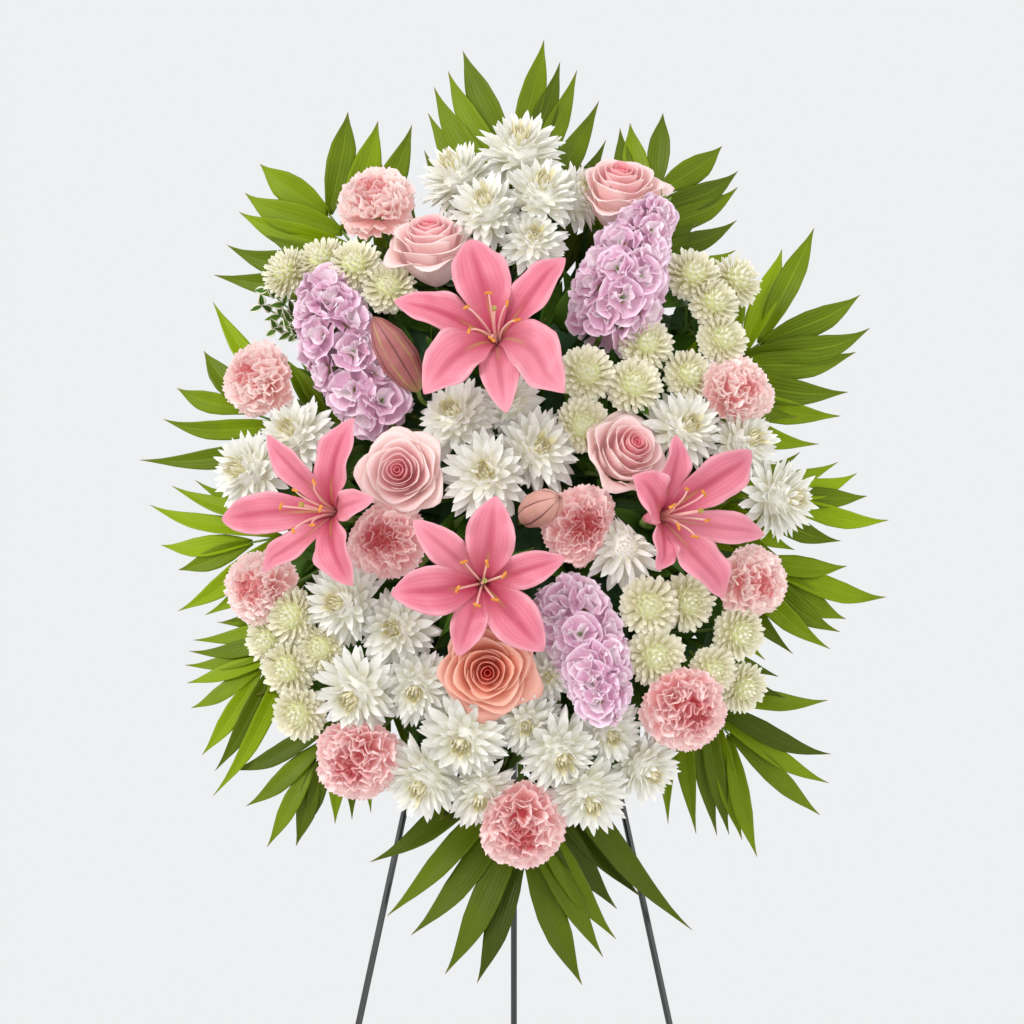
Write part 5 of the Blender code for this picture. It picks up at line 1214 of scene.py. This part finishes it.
def sprig(sheets, rnd, _name, pixel, foot_depth, end_depth, _width, tips):
    """A leafy sprig: a twig to each of the tips, with pairs of small cream-edged leaves along it."""
    end, outside, foot = foam_rib(*pixel, foot_depth, end_depth)
    stem(sheets, [end, outside, foot], RIB_RADIUS * 0.35, taper=2.6, smooth=False)
    for tip in tips:
        far = spot(*tip, end_depth * MM)
        near = outside.lerp(end, 0.7)
        heading = (far - near).normalized()
        stem(sheets, [far, near], 0.6 * MM, taper=1.8, columns=5, smooth=False)
        for k, share in enumerate(np.linspace(0.25, 1, 6)):
            place = near.lerp(far, share)
            for hand in (-1, 1):
                turned = Quaternion(heading, hand * 1.4 + k * 1.1) @ square_on(heading, AHEAD)[1]
                way = (heading * rnd.uniform(0.5, 0.9) + turned).normalized()
                leaf(sheets, place, place + way * rnd.uniform(12, 17) * MM, AHEAD + turned * 0.4,
                     rnd.uniform(7, 9) * MM, "edged_leaf", OVATE, arch=0.1, rows=8, columns=7,
                     tint=rnd.random())


def foam_greens(sheets, rnd):
    """Dark leaves that stand in the foam and hide it between the stems. Their near-black green is partly
    their own colour and partly painted shade in the gaps between the heads.
    """
    inset_x, inset_y = HALF_X - GREENS_INSET, HALF_Y - GREENS_INSET
    levels = np.linspace(-inset_y, inset_y, 13)
    places = [((x, y, FOAM_FRONT), (x * 3, y * 2, 0.14), 58 * MM)
              for x in np.linspace(-inset_x, inset_x, 9) for y in levels]
    for depth, long in ((36, 125), (62, 110), (86, 84)):
        places += [((hand * HALF_X, y, depth * MM), (hand, y * 3, 0.15), long * MM)
                   for y in levels for hand in (-1, 1)]
        places += [((x, hand * HALF_Y, depth * MM), (x * 4, hand, 0.15), long * MM)
                   for x in np.linspace(-inset_x, inset_x, 8) for hand in (-1, 1)]
    for place, outwards, long in places:
        out = Vector(outwards).normalized()
        root = Vector(place) + Vector(rnd.uniform(-3, 3, 3) * MM) - out * 3 * MM
        way = (out + Vector(rnd.uniform(-0.5, 0.5, 3))).normalized()
        tip = root + way * rnd.uniform(0.7, 1.15) * long
        leaf(sheets, root, tip, AHEAD + Vector(rnd.uniform(-0.8, 0.8, 3)),
             rnd.uniform(18, 28) * MM, "dark_leaf", OVATE, arch=rnd.uniform(-0.05, 0.12), rows=9, columns=5,
             tint=rnd.random())


def tray_ribs(sheets, _rnd):
    """The moulded ribs and rim on the tray's back, half sunk in its wall."""
    rim_x, rim_y = HALF_X - RIM_INSET, HALF_Y - RIM_INSET
    runs = [((side * rim_x, -rim_y), (side * rim_x, rim_y)) for side in (-1, 1)]
    runs += [((-rim_x, side * rim_y), (rim_x, side * rim_y)) for side in (-1, 1)]
    runs += [((x, -rim_y), (x, rim_y)) for x in np.linspace(-rim_x, rim_x, 5)[1:-1]]
    runs += [((-rim_x, y), (rim_x, y)) for y in np.linspace(-rim_y, rim_y, 7)[1:-1]]
    for start, end in runs:
        ends = [Vector((*start, TRAY_BACK)), Vector((*end, TRAY_BACK))]
        stem(sheets, ends, MOULDED_RIB, "tray", smooth=False)


def carried_over():
    """Gives the easel, the tray and the foam their finishes."""
    looks = {"black_enamel": "enamel", "tray_plastic": "tray", "wet_foam": "foam"}
    for part in frame["record"]["subparts"]:
        if part["material_slot"] in looks:
            mesh = frame["nodes"][part["node"]].data
            mesh.materials.clear()
            mesh.materials.append(FINISHES[looks[part["material_slot"]]])


# The floor, and the name, place, size and power of each lamp
FLOOR_RADIUS, FLOOR_SIDES, FLOOR_DROP = 4.2, 96, 0.5 * MM
LAMPS = [
    ("key", (-1.9, -2.6, 3.0), 1.6, 60),
    ("fill", (2.4, -2.4, 1.6), 2.2, 18),
    ("back", (0.6, 2.6, 2.8), 2.0, 30),
]


def studio():
    """A pale floor, soft light and the photograph's camera."""
    scene = bpy.context.scene
    scene.view_settings.view_transform = "Standard"
    floor_mesh = bpy.data.meshes.new("floor")
    corners = [(FLOOR_RADIUS * math.cos(a), FLOOR_RADIUS * math.sin(a), -FLOOR_DROP)
               for a in around(FLOOR_SIDES)]
    floor_mesh.from_pydata(corners, [], [tuple(range(FLOOR_SIDES))])
    floor = bpy.data.objects.new("floor", floor_mesh)
    scene.collection.objects.link(floor)
    pale = plain_finish("pale_floor", (0.78, 0.78, 0.77), (0.8, 0.8, 0.79), 3, 0.6, 60, 0.05)
    floor_mesh.materials.append(pale)
    world = bpy.data.worlds.new("studio")
    scene.world = world
    world.use_nodes = True
    background = world.node_tree.nodes["Background"]
    background.inputs["Color"].default_value = (0.86, 0.87, 0.88, 1)
    background.inputs["Strength"].default_value = 1.0
    middle = Vector(SPRAY_PLACE)
    for name, place, size, power in LAMPS:
        light = bpy.data.lights.new(name, "AREA")
        light.size = size
        light.energy = power
        lamp = bpy.data.objects.new(name, light)
        scene.collection.objects.link(lamp)
        lamp.location = place
        lamp.rotation_euler = (middle - Vector(place)).to_track_quat("-Z", "Y").to_euler()
    camera = bpy.data.cameras.new("camera")
    camera.sensor_width = SENSOR
    camera.lens = SENSOR * CAMERA_DISTANCE / (PHOTO_WIDTH * PIXEL)
    camera.clip_end = 100
    eye = bpy.data.objects.new("camera", camera)
    scene.collection.objects.link(eye)
    off_centre = (PHOTO_MIDDLE[0] - PHOTO_WIDTH / 2) * PIXEL
    eye.location = middle + Vector((-off_centre, -CAMERA_DISTANCE, CAMERA_ABOVE_FOAM))
    eye.rotation_euler = (math.pi / 2, 0, 0)
    scene.camera = eye


# Each kind of piece: its rows, what makes it, the ending of its name, its slot, the seed of the first
# and how thick its leaves or petals are in mm. The order fixes which stem takes which hole.
KINDS = [
    (FRONDS, frond, "_leaf", "palm_green", 10, 0.5),
    (LILIES, lily, "_flower", "lily_pink", 30, 0.7),
    (LILY_BUDS, lily_bud, "_flower", "bud_rose", 40, 0),
    (ROSES[:4], rose, "_bloom", "rose_blush", 50, 0.5),
    (ROSES[4:], rose, "_bloom", "rose_peach", 54, 0.5),
    (CARNATIONS, carnation, "_bloom", "carnation_pink", 60, 0),
    (WHITE_SPRAYS, spray, "_blooms", "mum_white", 80, 0),
    (CREAM_SPRAYS, spray, "_blooms", "pom_cream", 100, 0),
    (STOCKS, stock, "_spike", "stock_lilac", 120, 0),
    (FILLERS[:2], frond, "_leaf", "filler_green", 140, 0.5),
    (FILLERS[2:], sprig, "_leaf", "filler_green", 142, 0.4),
]
# The two pieces that replace no solid: name, what makes it, slot, and thickness in mm
EXTRAS = [("foam_greens", foam_greens, "filler_green", 0.4), ("tray_ribs", tray_ribs, "tray_plastic", 0)]
EXTRAS_SEED = 160


def build():
    for rows, make, ending, slot, seed, thickness in KINDS:
        for k, row in enumerate(rows):
            sheets = Sheets()
            make(sheets, np.random.default_rng(seed + k), *row)
            sheets.piece(row[0] + ending, [row[0]], slot, thickness * MM)
    for name, make, slot, thickness in EXTRAS:
        sheets = Sheets()
        make(sheets, np.random.default_rng(EXTRAS_SEED))
        sheets.piece(name, [], slot, thickness * MM)
    carried_over()


build()
studio()
